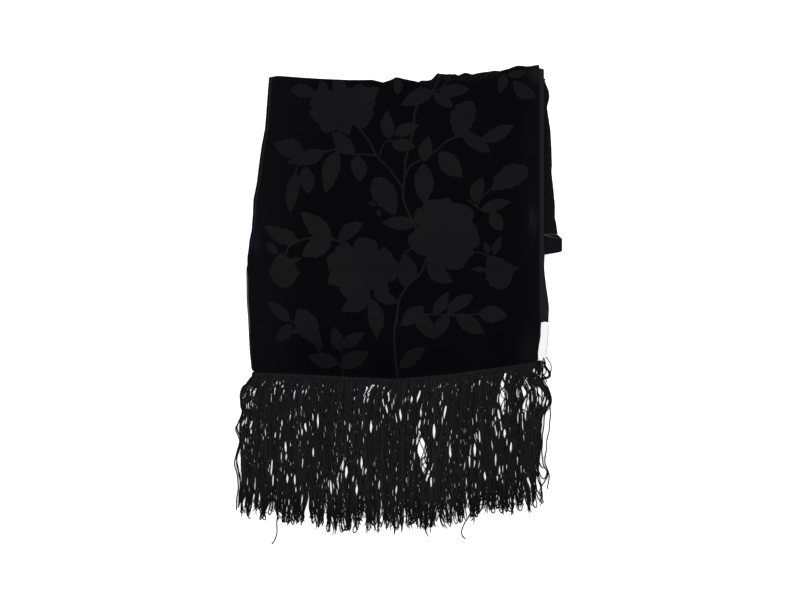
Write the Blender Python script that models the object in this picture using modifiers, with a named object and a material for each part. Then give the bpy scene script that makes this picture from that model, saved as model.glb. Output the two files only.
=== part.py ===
"""Folded velvet scarf with a long yarn fringe, lying flat on a surface.

Front stretch of cloth with its gathered top fold, back stretch with its end turned up as a cuff, the hidden
layers between them, the plain rims of the back cloth, a blank woven tab and the fringe with its heading.
Metres, +Z up, +Y towards the top fold, +X to the right of someone looking at the front; the origin lies on
the surface under the middle of the whole.
"""
import math
import random

import bmesh
import bpy
import numpy as np

# Sizes in millimetres, turned into metres where a mesh is made
MM = 0.001
GAP = 0.3
CLOTH = 1.8
RIM_CLOTH = 1.2

# Top fold of the front: x, y of its outermost line
TOP_FOLD = (
    (-160.0, 284.5), (-150.4, 286.2), (-97.5, 282.5), (-66.2, 281.2), (-47.5, 280.9), (-32.5, 281.2),
    (-18.8, 278.2), (-10.0, 280.6), (-2.5, 284.4), (5.0, 283.1), (15.0, 280.6), (25.6, 278.8),
    (28.8, 280.4), (36.2, 280.0), (41.2, 281.2), (49.4, 289.4), (58.8, 288.2), (71.2, 288.4),
    (75.0, 286.9), (83.8, 290.0), (92.5, 288.1), (102.5, 290.0), (120.0, 292.5), (127.5, 291.9),
    (148.8, 298.8), (165.0, 298.1), (175.7, 300.0), (175.8, 296.6), (181.5, 295.0), (190.0, 289.0),
)

# Hem of the front, where the heading of the fringe is sewn on: x, y
HEM = (
    (-190.0, -83.4), (-181.2, -83.8), (-122.5, -86.2), (-60.0, -89.5), (-2.5, -91.9), (65.0, -86.2),
    (127.5, -77.5), (165.0, -71.9), (175.0, -70.0), (190.0, -67.0),
)

# Left outline of the front: y, x
LEFT_EDGE = (
    (-83.8, -181.2), (-80.9, -182.8), (-58.1, -185.0), (-20.0, -186.9), (6.2, -188.8), (41.2, -189.2),
    (53.8, -188.5), (66.2, -186.2), (81.2, -184.4), (93.8, -181.6), (116.2, -180.0), (131.2, -179.5),
    (153.8, -175.0), (170.6, -173.1), (197.5, -169.4), (220.0, -165.0), (252.5, -162.5), (284.5, -160.0),
)

# Right edge of the velvet, and the outer edge of the plain rim beside it: y, x
RIGHT_EDGE = ((-70.0, 173.8), (-18.8, 176.9), (6.2, 176.0), (62.5, 176.0), (86.0, 175.6), (300.0, 175.6))
RIM_OUTER = (
    (-70.0, 184.0), (-58.8, 185.6), (-37.5, 187.6), (-18.8, 188.2), (-3.8, 188.8), (6.2, 187.9),
    (18.8, 186.0), (31.2, 184.4), (43.8, 182.9), (52.5, 182.6), (62.5, 183.2), (86.0, 182.0),
    (300.0, 182.0),
)

# Width of the plain rim that shows on the left: y, width
LEFT_RIM = ((-83.0, 1.5), (-60.0, 2.0), (30.0, 2.0), (48.0, 1.2))
LEFT_RIM_START = -82.5
LEFT_RIM_END = 48.0
LEFT_RIM_FADE = 62.0
LEFT_RIM_ROWS = 14

# Mid line of the front cloth over what lies under it: y, height
RISE = ((34.0, 0.9), (61.0, 5.5), (70.0, 6.0), (95.0, 8.8))
EDGE_DROOP = 0.7
EDGE_DROOP_WIDTH = 14.0

# Rows of a stretch from hem, 0, to crest of the fold, 1: below the step over the layers, on it, and above it
ROWS_BELOW = (0.0, 0.08, 0.18, 0.27)
STEP_START = 0.32
STEP_SPACING = 0.018
STEP_ROWS = 11
ROWS_ABOVE = (0.56, 0.64, 0.72, 0.79, 0.85, 0.895, 0.93, 0.96, 0.985, 1.0)
FOLD_ROWS = 7
RIM_FOLD_ROWS = 6
# Columns: wide on the plain part, close together on the gathered part
PLAIN_WIDTH = 0.40
PLAIN_COLUMNS = 9
GATHERED_COLUMNS = 32
# Levels between which a point of a stretch is first looked for, and how often its place is worked out anew
FIRST_LOW = -85.0
FIRST_HIGH = 285.0
PLACE_ROUNDS = 4

# Gathers of the top fold: x at the fold, half width, rise, how far each runs down, lean per mm of that
GATHERS = (
    (-28.0, 7.0, 0.8, 24.0, 0.0), (-2.5, 8.0, 2.2, 44.0, 0.10), (14.0, 6.0, 0.8, 20.0, 0.0),
    (32.0, 6.0, 1.0, 26.0, 0.05), (51.0, 8.0, 2.4, 50.0, 0.12), (67.0, 6.0, 1.4, 30.0, 0.0),
    (84.0, 7.0, 2.0, 40.0, 0.06), (104.0, 8.0, 1.5, 32.0, 0.0), (127.0, 9.0, 2.0, 44.0, -0.08),
    (151.0, 8.0, 1.8, 38.0, 0.0), (171.0, 6.0, 2.4, 52.0, -0.04),
)

# Back stretch: right outline y, x; how far it stays inside the front on the left; length under the fold
BACK_RIGHT = (
    (88.0, 199.6), (100.0, 198.1), (108.8, 196.2), (125.0, 196.2), (143.8, 194.4), (166.2, 191.9),
    (175.0, 192.5), (197.5, 191.8), (218.8, 190.6), (226.2, 189.4), (238.8, 187.5), (247.5, 186.2),
    (253.8, 188.1), (260.0, 189.4), (266.2, 188.8), (275.0, 185.6), (278.8, 183.4), (282.5, 184.4),
    (286.2, 183.1),
)
BACK_LEFT_INSET = 5.0
BACK_CORNER = 1.0
UNDER_FOLD = 6.0
# Rounded edge of a doubled cloth, and the stretch of the left outline that a slab's side follows
EDGE_INSET = 0.4
EDGE_HEIGHT = 0.5
CORNER_CLEAR = 8.0
LEFT_TOP = 260.0

# Turned-up cuff at the lower end of the back stretch: x, y of its fold, y of its upper line, y where its
# under part meets the back stretch
CUFF = (
    (-176.0, 62.5, 87.6, 88.2), (-90.0, 62.0, 87.2, 88.2), (0.0, 62.4, 87.6, 88.2), (90.0, 62.0, 87.2, 88.2),
    (160.0, 62.4, 87.4, 88.2), (183.0, 62.5, 87.6, 88.2), (196.0, 64.6, 85.2, 88.2), (199.4, 65.2, 84.7, 88.0),
    (203.2, 66.0, 84.2, 84.5), (205.0, 67.4, 83.2, 82.9),
)
CUFF_SEAM = 88.2
CUFF_INSIDE = 0.4
CUFF_ARC_STEPS = 6

# Hidden layers
INNER_LAYERS = 4
LAYER = 1.35
INNER_START = 96.0
INNER_LEFT_INSET = 4.5
INNER_RIGHT = 173.0
INNER_CORNER = 14.0
INNER_CORNER_STEPS = 4
INNER_SIDE = (150.0, 210.0)
INNER_TOP_LEFT = 270.0
INNER_TOP_STEPS = 22
INNER_TOP_CLEAR = 1.5
INNER_TOP_REACH = (-8.0, -4.0, 0.0, 4.0, 8.0)
INNER_FOOT = 3.0
INNER_STEP_IN = 0.5
INNER_GROOVE = 0.9
INNER_CROWN = ((4.0, -0.25), (9.0, 0.0))

# Blank woven tab, folded and sewn on the rim: left side x, y going up, then right side x, y going down
TAB_LEFT = ((175.2, -68.4), (175.0, -60.0), (176.2, -50.0), (178.2, -38.8), (178.3, -30.0), (178.9, -22.4))
TAB_RIGHT = ((188.2, -22.6), (188.6, -30.0), (188.4, -38.8), (187.4, -50.0), (186.2, -58.8), (185.0, -66.8))
TAB_CORNER_RISE = 1.4
TAB_LOWER_CORNERS = (0.12, 0.88)
TAB_UPPER_CORNERS = (0.85, 0.15)
TAB_CLOTH = 0.8
TAB_EDGE_INSET = 0.25
TAB_EDGE_HEIGHT = 0.2

# Fringe heading, which reaches under the tab on the right, and yarns
HEADING = 9.0
HEADING_LEFT = -181.2
HEADING_RIGHT = 182.0
YARN_LENGTH = 180.0
YARN_PAIRS = 86
LOW_PLACE = 0.25
HIGH_PLACE = 0.75
YARN_WIDTH = 1.7
YARN_ROOT_WIDTH = 1.3
YARN_HEIGHT = 1.2
YARN_SEGMENTS = 8
LOWER_YARN_BASE = 0.15
UPPER_YARN_BASE = 1.65
YARN_RISE_LENGTH = 26.0
YARN_TIP = 0.6
SEED = 7

# Sides of the fringe: distance under the hem, how far it spreads past the heading on the left and on the right
SPREAD = (
    (9.0, 0.0, 0.0), (28.0, 14.8, 5.0), (44.0, 15.0, 8.6), (50.0, 15.2, 8.4), (72.0, 19.6, 7.0),
    (94.0, 15.8, 6.4), (116.0, 24.3, 4.0), (137.0, 17.8, 7.0), (159.0, 20.2, 5.0), (190.0, 17.4, 1.8),
)
SPREAD_SIDE = 0.04

# Lower ends of the yarns: x, y
YARN_ENDS = (
    (-205.0, -256.0), (-190.0, -264.0), (-141.0, -266.0), (-122.0, -275.0), (-72.0, -281.0), (2.0, -281.5),
    (52.0, -278.0), (65.0, -275.0), (90.0, -269.0), (115.0, -262.5), (152.0, -257.5), (171.0, -257.5),
    (190.0, -245.0),
)
YARN_DRIFT = (-5.0, 4.0)

# Yarn clumps: waves over the width, sway in mm, length of one sway down the fringe, phase
CLUMPS_LOWER = ((23.0, 0.55, 130.0, 0.4), (7.0, 1.3, 210.0, 1.9), (2.0, 2.6, 260.0, 0.2))
CLUMPS_UPPER = ((19.0, 0.65, 105.0, 2.6), (9.0, 1.1, 170.0, 0.7), (2.0, 2.2, 300.0, 2.0))

# Open lens-shaped gaps in the fringe: x, y, half opening, half length
OPENINGS = ((30.0, -183.0, 3.2, 26.0), (130.0, -115.0, 2.6, 20.0), (-96.0, -205.0, 2.0, 22.0))
OPENING_FADE = 14.0

# Loose yarns that reach past the others: place in the row 0 to 1, bend x, y, end x, y
LOOSE_ENDS = ((0.127, -149.0, -283.0, -158.0, -300.0), (0.748, 79.5, -284.5, 84.4, -292.0))
LOOSE_DROP = 9.0

# Plain finishes: name, linear colour, roughness
FINISHES = (
    ("velvet_black", (0.004, 0.004, 0.005), 0.85),
    ("lining_black", (0.012, 0.012, 0.013), 0.6),
    ("cuff_black", (0.006, 0.005, 0.008), 0.8),
    ("tab_white", (0.9, 0.9, 0.89), 0.7),
    ("yarn_black", (0.010, 0.010, 0.010), 0.7),
)


def value_at(rows, at, column=1):
    """Value of a table's column at a place in its first column, straight between the rows."""
    return float(np.interp(at, [row[0] for row in rows], [row[column] for row in rows]))


def smooth(t):
    t = min(1.0, max(0.0, t))
    return t * t * (3.0 - 2.0 * t)


def blend(a, b, t):
    return a + (b - a) * t


def make_collection(name):
    collection = bpy.data.collections.new(name)
    bpy.context.scene.collection.children.link(collection)
    return collection


def make_material(name, colour, roughness):
    material = bpy.data.materials.new(name)
    material.use_nodes = True
    shader = material.node_tree.nodes["Principled BSDF"]
    shader.inputs["Base Color"].default_value = (*colour, 1.0)
    shader.inputs["Roughness"].default_value = roughness
    shader.inputs["Metallic"].default_value = 0.0
    return material


def add_object(name, vertices, faces, material, collection):
    mesh = bpy.data.meshes.new(name)
    mesh.from_pydata([(x * MM, y * MM, z * MM) for x, y, z in vertices], [], faces)
    mesh.materials.append(material)
    form = bmesh.new()
    form.from_mesh(mesh)
    bmesh.ops.recalc_face_normals(form, faces=form.faces)
    form.to_mesh(mesh)
    form.free()
    for face in mesh.polygons:
        face.use_smooth = True
    thing = bpy.data.objects.new(name, mesh)
    collection.objects.link(thing)
    return thing


def add_sheet(name, grid, wall, material, collection):
    """Cloth of even thickness from rows of points on its mid line."""
    columns = len(grid[0])
    vertices = [point for row in grid for point in row]
    faces = []
    for r in range(len(grid) - 1):
        for c in range(columns - 1):
            start = r * columns + c
            faces.append((start, start + 1, start + columns + 1, start + columns))
    sheet = add_object(name, vertices, faces, material, collection)
    solid = sheet.modifiers.new("wall", "SOLIDIFY")
    solid.thickness = wall * MM
    solid.offset = 0.0
    solid.use_even_offset = True
    return sheet


def add_loft(name, rings, material, collection):
    """Closed solid through rings of equally many points, closed by a flat face at both ends."""
    count = len(rings[0])
    vertices = [point for ring in rings for point in ring]
    faces = [tuple(range(count))]
    for r in range(len(rings) - 1):
        for c in range(count):
            near = r * count
            far = near + count
            after = (c + 1) % count
            faces.append((near + c, near + after, far + after, far + c))
    last = (len(rings) - 1) * count
    faces.append(tuple(reversed(range(last, last + count))))
    return add_object(name, vertices, faces, material, collection)


def pull_in(outline, inset):
    """Outline of x, y points that runs anticlockwise, moved inwards."""
    moved = []
    count = len(outline)
    for i, (x, y) in enumerate(outline):
        before = outline[i - 1]
        after = outline[(i + 1) % count]
        run_x = after[0] - before[0]
        run_y = after[1] - before[1]
        length = math.hypot(run_x, run_y)
        moved.append((x - run_y / length * inset, y + run_x / length * inset))
    return moved


def add_slab(name, outline, section, material, collection):
    """Flat solid on an outline; the section gives inset and height of each ring from the underside up."""
    rings = [[(x, y, height) for x, y in pull_in(outline, inset)] for inset, height in section]
    return add_loft(name, rings, material, collection)


def left_of_front(y):
    """Velvet's left edge: inside the plain rim where that shows, on the outline above it."""
    shown = 1.0 - smooth((y - LEFT_RIM_END) / (LEFT_RIM_FADE - LEFT_RIM_END))
    return value_at(LEFT_EDGE, y) + (value_at(LEFT_RIM, y) + GAP) * shown


def gather_rise(x, y):
    below = value_at(TOP_FOLD, x) - y
    total = 0.0
    for at, half_width, rise, run, lean in GATHERS:
        across = (x - at - lean * below) / half_width
        total += rise * math.exp(-across * across) * smooth(1.0 - below / run)
    return total


def rest_height(y):
    """Height of the front cloth's mid line over the layers under it."""
    for (y0, z0), (y1, z1) in zip(RISE, RISE[1:]):
        if y < y1:
            return blend(z0, z1, smooth((y - y0) / (y1 - y0)))
    return RISE[-1][1]


def front_height(x, y):
    rest = rest_height(y)
    lifted = (rest - RISE[0][1]) / (RISE[-1][1] - RISE[0][1])
    edge = min(x - value_at(LEFT_EDGE, y), value_at(RIM_OUTER, y) - x)
    droop = EDGE_DROOP * (1.0 - smooth(edge / EDGE_DROOP_WIDTH))
    return rest - droop * lifted + gather_rise(x, y)


def fold_radius(x, mid_low):
    """Radius of the top fold's mid line at x, from the cloth on top to the cloth on the floor."""
    top_y = value_at(TOP_FOLD, x)
    return (front_height(x, top_y - CLOTH - RISE[-1][1] / 2) - mid_low) / 2


def stretch_point(across, along, left, right):
    """Point of the front between its sides and between hem and fold."""
    y = blend(FIRST_LOW, FIRST_HIGH, along)
    for _ in range(PLACE_ROUNDS):
        x = blend(left(y), right(y), across)
        radius = fold_radius(x, CLOTH / 2)
        y = blend(value_at(HEM, x), value_at(TOP_FOLD, x) - CLOTH / 2 - radius, along)
    return x, y


def stretch_grid(columns, left, right, drop, arc_steps, under):
    """Rows of mid-line points from the hem up, over the top fold and a little way back under it."""
    on_step = tuple(STEP_START + STEP_SPACING * i for i in range(STEP_ROWS))
    grid = []
    for along in ROWS_BELOW + on_step + ROWS_ABOVE:
        row = []
        for across in columns:
            x, y = stretch_point(across, along, left, right)
            row.append((x, y, front_height(x, y) - drop))
        grid.append(row)
    crest = grid[-1]
    floor = CLOTH / 2 - drop
    for i in range(1, arc_steps + 1):
        angle = math.pi * i / arc_steps
        row = []
        for x, y, z in crest:
            radius = (z - floor) / 2
            row.append((x, y + radius * math.sin(angle), floor + radius + radius * math.cos(angle)))
        grid.append(row)
    if under > 0.0:
        grid.append([(x, y - under, floor) for x, y, z in grid[-1]])
    return grid


def front_columns():
    plain = [PLAIN_WIDTH * i / PLAIN_COLUMNS for i in range(PLAIN_COLUMNS)]
    gathered = [blend(PLAIN_WIDTH, 1.0, i / GATHERED_COLUMNS) for i in range(GATHERED_COLUMNS + 1)]
    return plain + gathered


def front_grid():
    return stretch_grid(front_columns(), left_of_front, lambda y: value_at(RIGHT_EDGE, y), 0.0, FOLD_ROWS,
                        UNDER_FOLD)


def make_front(material, collection):
    """Velvet stretch that faces up, from its hem over the top fold."""
    return add_sheet("front_panel", front_grid(), CLOTH, material, collection)


def make_right_rim(material, collection):
    """Plain back cloth that shows beside the velvet's right edge, over the fold as the velvet goes."""
    grid = stretch_grid([0.0, 0.5, 1.0], lambda y: value_at(RIGHT_EDGE, y) + GAP,
                        lambda y: value_at(RIM_OUTER, y), (CLOTH - RIM_CLOTH) / 2, RIM_FOLD_ROWS, 0.0)
    return add_sheet("lining_rim_right", grid, RIM_CLOTH, material, collection)


def make_left_rim(material, collection):
    """Plain back cloth that shows as a thin line along the lower left edge."""
    grid = []
    for i in range(LEFT_RIM_ROWS):
        y = blend(LEFT_RIM_START, LEFT_RIM_END, i / (LEFT_RIM_ROWS - 1))
        outer = value_at(LEFT_EDGE, y)
        inner = outer + value_at(LEFT_RIM, y)
        height = rest_height(y) - (CLOTH - RIM_CLOTH) / 2
        grid.append([(outer, y, height), (inner, y, height)])
    return add_sheet("lining_rim_left", grid, RIM_CLOTH, material, collection)


def make_back(material, collection):
    """Stretch that lies on the surface behind the front, from the front's edge under the fold to the cuff."""
    lower_y = CUFF_SEAM + GAP
    outline = [(value_at(LEFT_EDGE, lower_y) + BACK_LEFT_INSET, lower_y), (0.0, lower_y)]
    outline += [(BACK_RIGHT[0][1] - BACK_CORNER, lower_y)]
    outline += [(x, y) for y, x in BACK_RIGHT[1:]]
    outline += [(x, y - GAP) for x, y, z in reversed(front_grid()[-1])]
    outline += [(x + BACK_LEFT_INSET, y) for y, x in reversed(LEFT_EDGE)
                if lower_y + CORNER_CLEAR < y < LEFT_TOP]
    section = ((EDGE_INSET, 0.0), (0.0, EDGE_HEIGHT), (0.0, CLOTH - EDGE_HEIGHT), (EDGE_INSET, CLOTH))
    return add_slab("back_stretch", outline, section, material, collection)


def make_cuff(material, collection):
    """End of the back stretch, turned up over itself."""
    half = CLOTH + CUFF_INSIDE / 2
    tight = CUFF_INSIDE / 2
    rings = []
    for x, fold_y, open_y, seam_y in CUFF:
        outer = [(seam_y, 0.0)]
        inner = [(seam_y, CLOTH)]
        for i in range(CUFF_ARC_STEPS + 1):
            angle = math.pi * i / CUFF_ARC_STEPS
            centre = fold_y + half
            outer.append((centre - half * math.sin(angle), half - half * math.cos(angle)))
            inner.append((centre - tight * math.sin(angle), half - tight * math.cos(angle)))
        outer.append((open_y, 2 * half))
        inner.append((open_y, 2 * half - CLOTH))
        rings.append([(x, y, z) for y, z in outer + inner[::-1]])
    return add_loft("turned_cuff", rings, material, collection)


def make_inner(material, collection):
    """Hidden layers as one rounded solid, grooved between the layers at its sides."""
    left_low = value_at(LEFT_EDGE, INNER_START) + INNER_LEFT_INSET
    outline = [(left_low, INNER_START), (-90.0, INNER_START), (0.0, INNER_START), (90.0, INNER_START)]
    for i in range(INNER_CORNER_STEPS + 1):
        angle = math.pi / 2 * i / INNER_CORNER_STEPS
        outline.append((INNER_RIGHT - INNER_CORNER * (1.0 - math.sin(angle)),
                        INNER_START + INNER_CORNER * (1.0 - math.cos(angle))))
    outline += [(INNER_RIGHT, y) for y in INNER_SIDE]
    top_left = value_at(LEFT_EDGE, INNER_TOP_LEFT) + INNER_LEFT_INSET
    for i in range(INNER_TOP_STEPS + 1):
        x = blend(INNER_RIGHT, top_left, i / INNER_TOP_STEPS)
        near = [value_at(TOP_FOLD, x + shift) for shift in INNER_TOP_REACH]
        outline.append((x, min(near) - CLOTH - RISE[-1][1] / 2 - INNER_TOP_CLEAR))
    outline += [(x + INNER_LEFT_INSET, y) for y, x in reversed(LEFT_EDGE)
                if INNER_START + CORNER_CLEAR < y < LEFT_TOP]
    section = [(INNER_FOOT, CLOTH + GAP)]
    for i in range(INNER_LAYERS):
        low = CLOTH + GAP + i * LAYER
        section.append((INNER_STEP_IN * i, low + LAYER / 2))
        if i < INNER_LAYERS - 1:
            section.append((INNER_STEP_IN * i + INNER_GROOVE, low + LAYER))
    top = CLOTH + GAP + INNER_LAYERS * LAYER
    section += [(inset, top + drop) for inset, drop in INNER_CROWN]
    return add_slab("inner_layers", outline, section, material, collection)


def make_tab(material, collection):
    """Blank woven tab, folded in two and sewn on the right rim near the hem."""
    low_left, low_right = TAB_LEFT[0], TAB_RIGHT[-1]
    high_left, high_right = TAB_LEFT[-1], TAB_RIGHT[0]
    outline = list(TAB_LEFT[::-1])
    for share, corner in zip(TAB_LOWER_CORNERS, (low_left, low_right)):
        outline.append((blend(low_left[0], low_right[0], share), corner[1] - TAB_CORNER_RISE / 2))
    outline += list(TAB_RIGHT[::-1])
    for share, corner in zip(TAB_UPPER_CORNERS, (high_right, high_left)):
        outline.append((blend(high_left[0], high_right[0], share), corner[1] + TAB_CORNER_RISE))
    low = RIM_CLOTH + GAP
    top = low + TAB_CLOTH
    section = ((TAB_EDGE_INSET, low), (0.0, low + TAB_EDGE_HEIGHT), (0.0, top - TAB_EDGE_HEIGHT),
               (TAB_EDGE_INSET, top))
    return add_slab("side_tab", outline, section, material, collection)


def yarn_x(place, depth, clumps):
    """x of a yarn from its place in the row and its distance under the hem."""
    left = HEADING_LEFT - value_at(SPREAD, depth, 1)
    right = HEADING_RIGHT + value_at(SPREAD, depth, 2)
    free = smooth((depth - HEADING) / YARN_RISE_LENGTH)
    sway = 0.0
    for waves, reach, length, phase in clumps:
        sway += reach * math.sin(2 * math.pi * (waves * place + depth / length) + phase)
    inside = smooth(place / SPREAD_SIDE) * smooth((1.0 - place) / SPREAD_SIDE)
    return blend(left, right, place) + sway * free * inside


def push_open(x, y):
    """Moves a yarn away from the middle of each opening."""
    moved = 0.0
    for at_x, at_y, opening, half_length in OPENINGS:
        reach = opening * math.exp(-((y - at_y) / half_length) ** 2)
        side = 1.0 if x >= at_x else -1.0
        moved += side * reach * math.exp(-abs(x - at_x) / OPENING_FADE)
    return x + moved


def yarn_path(root_x, place, clumps, upper, drift):
    """Points x, y, base height along one yarn, without its root."""
    hem_y = value_at(HEM, root_x)
    end_y = value_at(YARN_ENDS, yarn_x(place, YARN_LENGTH, clumps)) + drift
    length = hem_y - HEADING - end_y
    path = []
    for i in range(1, YARN_SEGMENTS + 1):
        share = i / YARN_SEGMENTS
        depth = HEADING + length * share
        y = hem_y - depth
        x = push_open(yarn_x(place, depth, clumps), y)
        base = LOWER_YARN_BASE
        if upper:
            base = blend(CLOTH / 2, UPPER_YARN_BASE, smooth((depth - HEADING) / YARN_RISE_LENGTH))
        path.append((x, y, base))
    return path


def add_yarn(form, root, path):
    """Three-sided yarn grown from the root triangle of the heading: left, right and top vertices."""
    before = root
    for i, (x, y, base) in enumerate(path):
        near = path[i - 1] if i else (sum(v.co.x for v in root) / 3 / MM, root[0].co.y / MM)
        run_x = x - near[0]
        run_y = y - near[1]
        length = math.hypot(run_x, run_y)
        wide = YARN_WIDTH / 2 * (YARN_TIP if i == len(path) - 1 else 1.0)
        side_x = -run_y / length * wide
        side_y = run_x / length * wide
        left = form.verts.new(((x - side_x) * MM, (y - side_y) * MM, base * MM))
        right = form.verts.new(((x + side_x) * MM, (y + side_y) * MM, base * MM))
        top = form.verts.new((x * MM, y * MM, (base + YARN_HEIGHT) * MM))
        after = (left, right, top)
        for a in range(3):
            b = (a + 1) % 3
            form.faces.new((before[a], before[b], after[b], after[a]))
        before = after
    form.faces.new(before)


def heading_vertices(form, x, heights, inset):
    y = value_at(HEM, x) - inset
    return [form.verts.new((x * MM, y * MM, height * MM)) for height in heights]


def lower_yarn_path(root_x, place, drift):
    """Path of a yarn in the lower row, where a few loose ones reach on past the others."""
    for at, bend_x, bend_y, end_x, end_y in LOOSE_ENDS:
        if abs(at - place) < 0.5 / YARN_PAIRS:
            path = yarn_path(root_x, place, CLUMPS_LOWER, False, 0.0)
            x, y, base = path[-1]
            return path + [(x, y - LOOSE_DROP, base), (bend_x, bend_y, base), (end_x, end_y, base)]
    return yarn_path(root_x, place, CLUMPS_LOWER, False, drift)


def make_fringe(material, collection):
    """Flat heading with two rows of yarns grown out of its lower side."""
    chance = random.Random(SEED)
    form = bmesh.new()
    left_x = HEADING_LEFT
    pitch = (HEADING_RIGHT - HEADING_LEFT) / YARN_PAIRS
    space = pitch / 2 - YARN_ROOT_WIDTH
    levels = (0.0, CLOTH / 2, CLOTH)
    start = heading_vertices(form, left_x, levels, HEADING)
    back = heading_vertices(form, left_x, (0.0, CLOTH), GAP)
    form.faces.new((start[0], start[1], start[2], back[1], back[0]))
    for i in range(YARN_PAIRS):
        x0 = left_x + i * pitch + space / 2
        low0 = heading_vertices(form, x0, levels, HEADING)
        low_mid = heading_vertices(form, x0 + YARN_ROOT_WIDTH / 2, (CLOTH / 2,), HEADING)[0]
        low1 = heading_vertices(form, x0 + YARN_ROOT_WIDTH, levels, HEADING)
        x1 = x0 + pitch / 2
        high0 = heading_vertices(form, x1, levels, HEADING)
        high_mid = heading_vertices(form, x1 + YARN_ROOT_WIDTH / 2, (CLOTH,), HEADING)[0]
        high1 = heading_vertices(form, x1 + YARN_ROOT_WIDTH, levels, HEADING)
        end = heading_vertices(form, left_x + (i + 1) * pitch, levels, HEADING)
        far = heading_vertices(form, left_x + (i + 1) * pitch, (0.0, CLOTH), GAP)
        for near, after in ((start, low0), (low1, high0), (high1, end)):
            form.faces.new((near[0], after[0], after[1], near[1]))
            form.faces.new((near[1], after[1], after[2], near[2]))
        form.faces.new((low0[0], low_mid, low0[1]))
        form.faces.new((low1[0], low1[1], low_mid))
        form.faces.new((low0[1], low_mid, low1[1], low1[2], low0[2]))
        form.faces.new((high0[0], high1[0], high1[1], high0[1]))
        form.faces.new((high0[1], high_mid, high0[2]))
        form.faces.new((high1[1], high1[2], high_mid))
        form.faces.new((start[2], low0[2], low1[2], high0[2], high_mid, high1[2], end[2], far[1], back[1]))
        form.faces.new((back[0], far[0], end[0], high1[0], high0[0], low1[0], low0[0], start[0]))
        form.faces.new((back[0], back[1], far[1], far[0]))
        low_place = (i + LOW_PLACE) / YARN_PAIRS
        high_place = (i + HIGH_PLACE) / YARN_PAIRS
        low_path = lower_yarn_path(x0, low_place, chance.uniform(*YARN_DRIFT))
        add_yarn(form, (low0[0], low1[0], low_mid), low_path)
        high_path = yarn_path(x1, high_place, CLUMPS_UPPER, True, chance.uniform(*YARN_DRIFT))
        add_yarn(form, (high0[1], high1[1], high_mid), high_path)
        start = end
        back = far
    form.faces.new((start[2], start[1], start[0], back[0], back[1]))
    bmesh.ops.recalc_face_normals(form, faces=form.faces)
    mesh = bpy.data.meshes.new("fringe")
    form.to_mesh(mesh)
    form.free()
    mesh.materials.append(material)
    fringe = bpy.data.objects.new("fringe", mesh)
    collection.objects.link(fringe)
    return fringe


def main():
    for thing in list(bpy.data.objects):
        bpy.data.objects.remove(thing, do_unlink=True)
    scarf = make_collection("velvet_scarf")
    velvet, plain, plum, white, yarn = (make_material(*finish) for finish in FINISHES)
    make_front(velvet, scarf)
    make_back(plain, scarf)
    make_cuff(plum, scarf)
    make_inner(plain, scarf)
    make_right_rim(plain, scarf)
    make_left_rim(plain, scarf)
    make_tab(white, scarf)
    make_fringe(yarn, scarf)


main()
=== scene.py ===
"""Folded velvet scarf with a long yarn fringe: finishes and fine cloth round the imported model.

The scene is in metres. The tables, and the functions that read them, are in millimetres.
"""

import math

import bpy
import numpy as np
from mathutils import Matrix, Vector


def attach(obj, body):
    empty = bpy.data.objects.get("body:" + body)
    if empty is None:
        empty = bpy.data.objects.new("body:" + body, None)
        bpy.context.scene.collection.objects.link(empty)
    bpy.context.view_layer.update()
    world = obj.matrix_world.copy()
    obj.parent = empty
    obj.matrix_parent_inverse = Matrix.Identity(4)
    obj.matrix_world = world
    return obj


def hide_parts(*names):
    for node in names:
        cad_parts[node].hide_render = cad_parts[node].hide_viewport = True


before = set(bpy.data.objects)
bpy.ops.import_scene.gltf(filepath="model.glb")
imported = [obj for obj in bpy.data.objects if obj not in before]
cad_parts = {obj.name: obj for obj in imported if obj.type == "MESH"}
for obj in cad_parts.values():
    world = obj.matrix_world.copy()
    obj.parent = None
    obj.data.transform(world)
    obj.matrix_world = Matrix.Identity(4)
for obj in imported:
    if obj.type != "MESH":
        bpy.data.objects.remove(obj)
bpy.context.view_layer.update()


# Camera: straight above the scarf, far enough back that the flat cloth keeps its proportions.
# The photograph's frame is one metre wide on the surface.
FRAME_WIDTH = 1
FRAME_CENTRE = (0.0025, 0.00625)
LENS = 100
SENSOR = 36

lens = bpy.data.cameras.new("camera")
lens.lens = LENS
lens.sensor_width = SENSOR
camera = bpy.data.objects.new("camera", lens)
camera.location = (*FRAME_CENTRE, FRAME_WIDTH * LENS / SENSOR)
bpy.context.scene.collection.objects.link(camera)
bpy.context.scene.camera = camera


# Surface and light: a white acrylic table lit faintly from below, so that it stays white in the fringe's
# gaps, an even white room and three large soft boxes overhead, the one on the left the strongest.
def linear(hex_colour):
    """sRGB hex as linear red, green, blue and alpha."""
    parts = [int(hex_colour[i:i + 2], 16) / 255 for i in (1, 3, 5)]
    return (*(c / 12.92 if c <= 0.04045 else ((c + 0.055) / 1.055) ** 2.4 for c in parts), 1)


def add_node(tree, kind, settings=None, links=None):
    """Adds a shader node; a setting is an input's number or name, or else an attribute of the node."""
    node = tree.nodes.new("ShaderNode" + kind)
    for key, value in (settings or {}).items():
        if isinstance(key, int) or key in node.inputs:
            node.inputs[key].default_value = value
        else:
            setattr(node, key, value)
    for socket, source in (links or {}).items():
        tree.links.new(source, node.inputs[socket])
    return node


def start_finish(name, settings):
    """New material with its shader's own values set, and the coordinates that its patterns lie in."""
    material = bpy.data.materials.new(name)
    material.use_nodes = True
    tree = material.node_tree
    shader = tree.nodes["Principled BSDF"]
    for key, value in settings.items():
        shader.inputs[key].default_value = value
    return material, tree, shader, add_node(tree, "TexCoord").outputs["Object"]


FLOOR_HALF = 4
FLOOR_TOP = -0.0002
# Soft boxes: x, y, z, side, power
SOFT_BOXES = (
    (-1.9, 1.2, 2.3, 2, 44),
    (2.1, 0.6, 2.4, 2, 26),
    (0.2, -2.2, 2.2, 1.8, 16),
)

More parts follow.
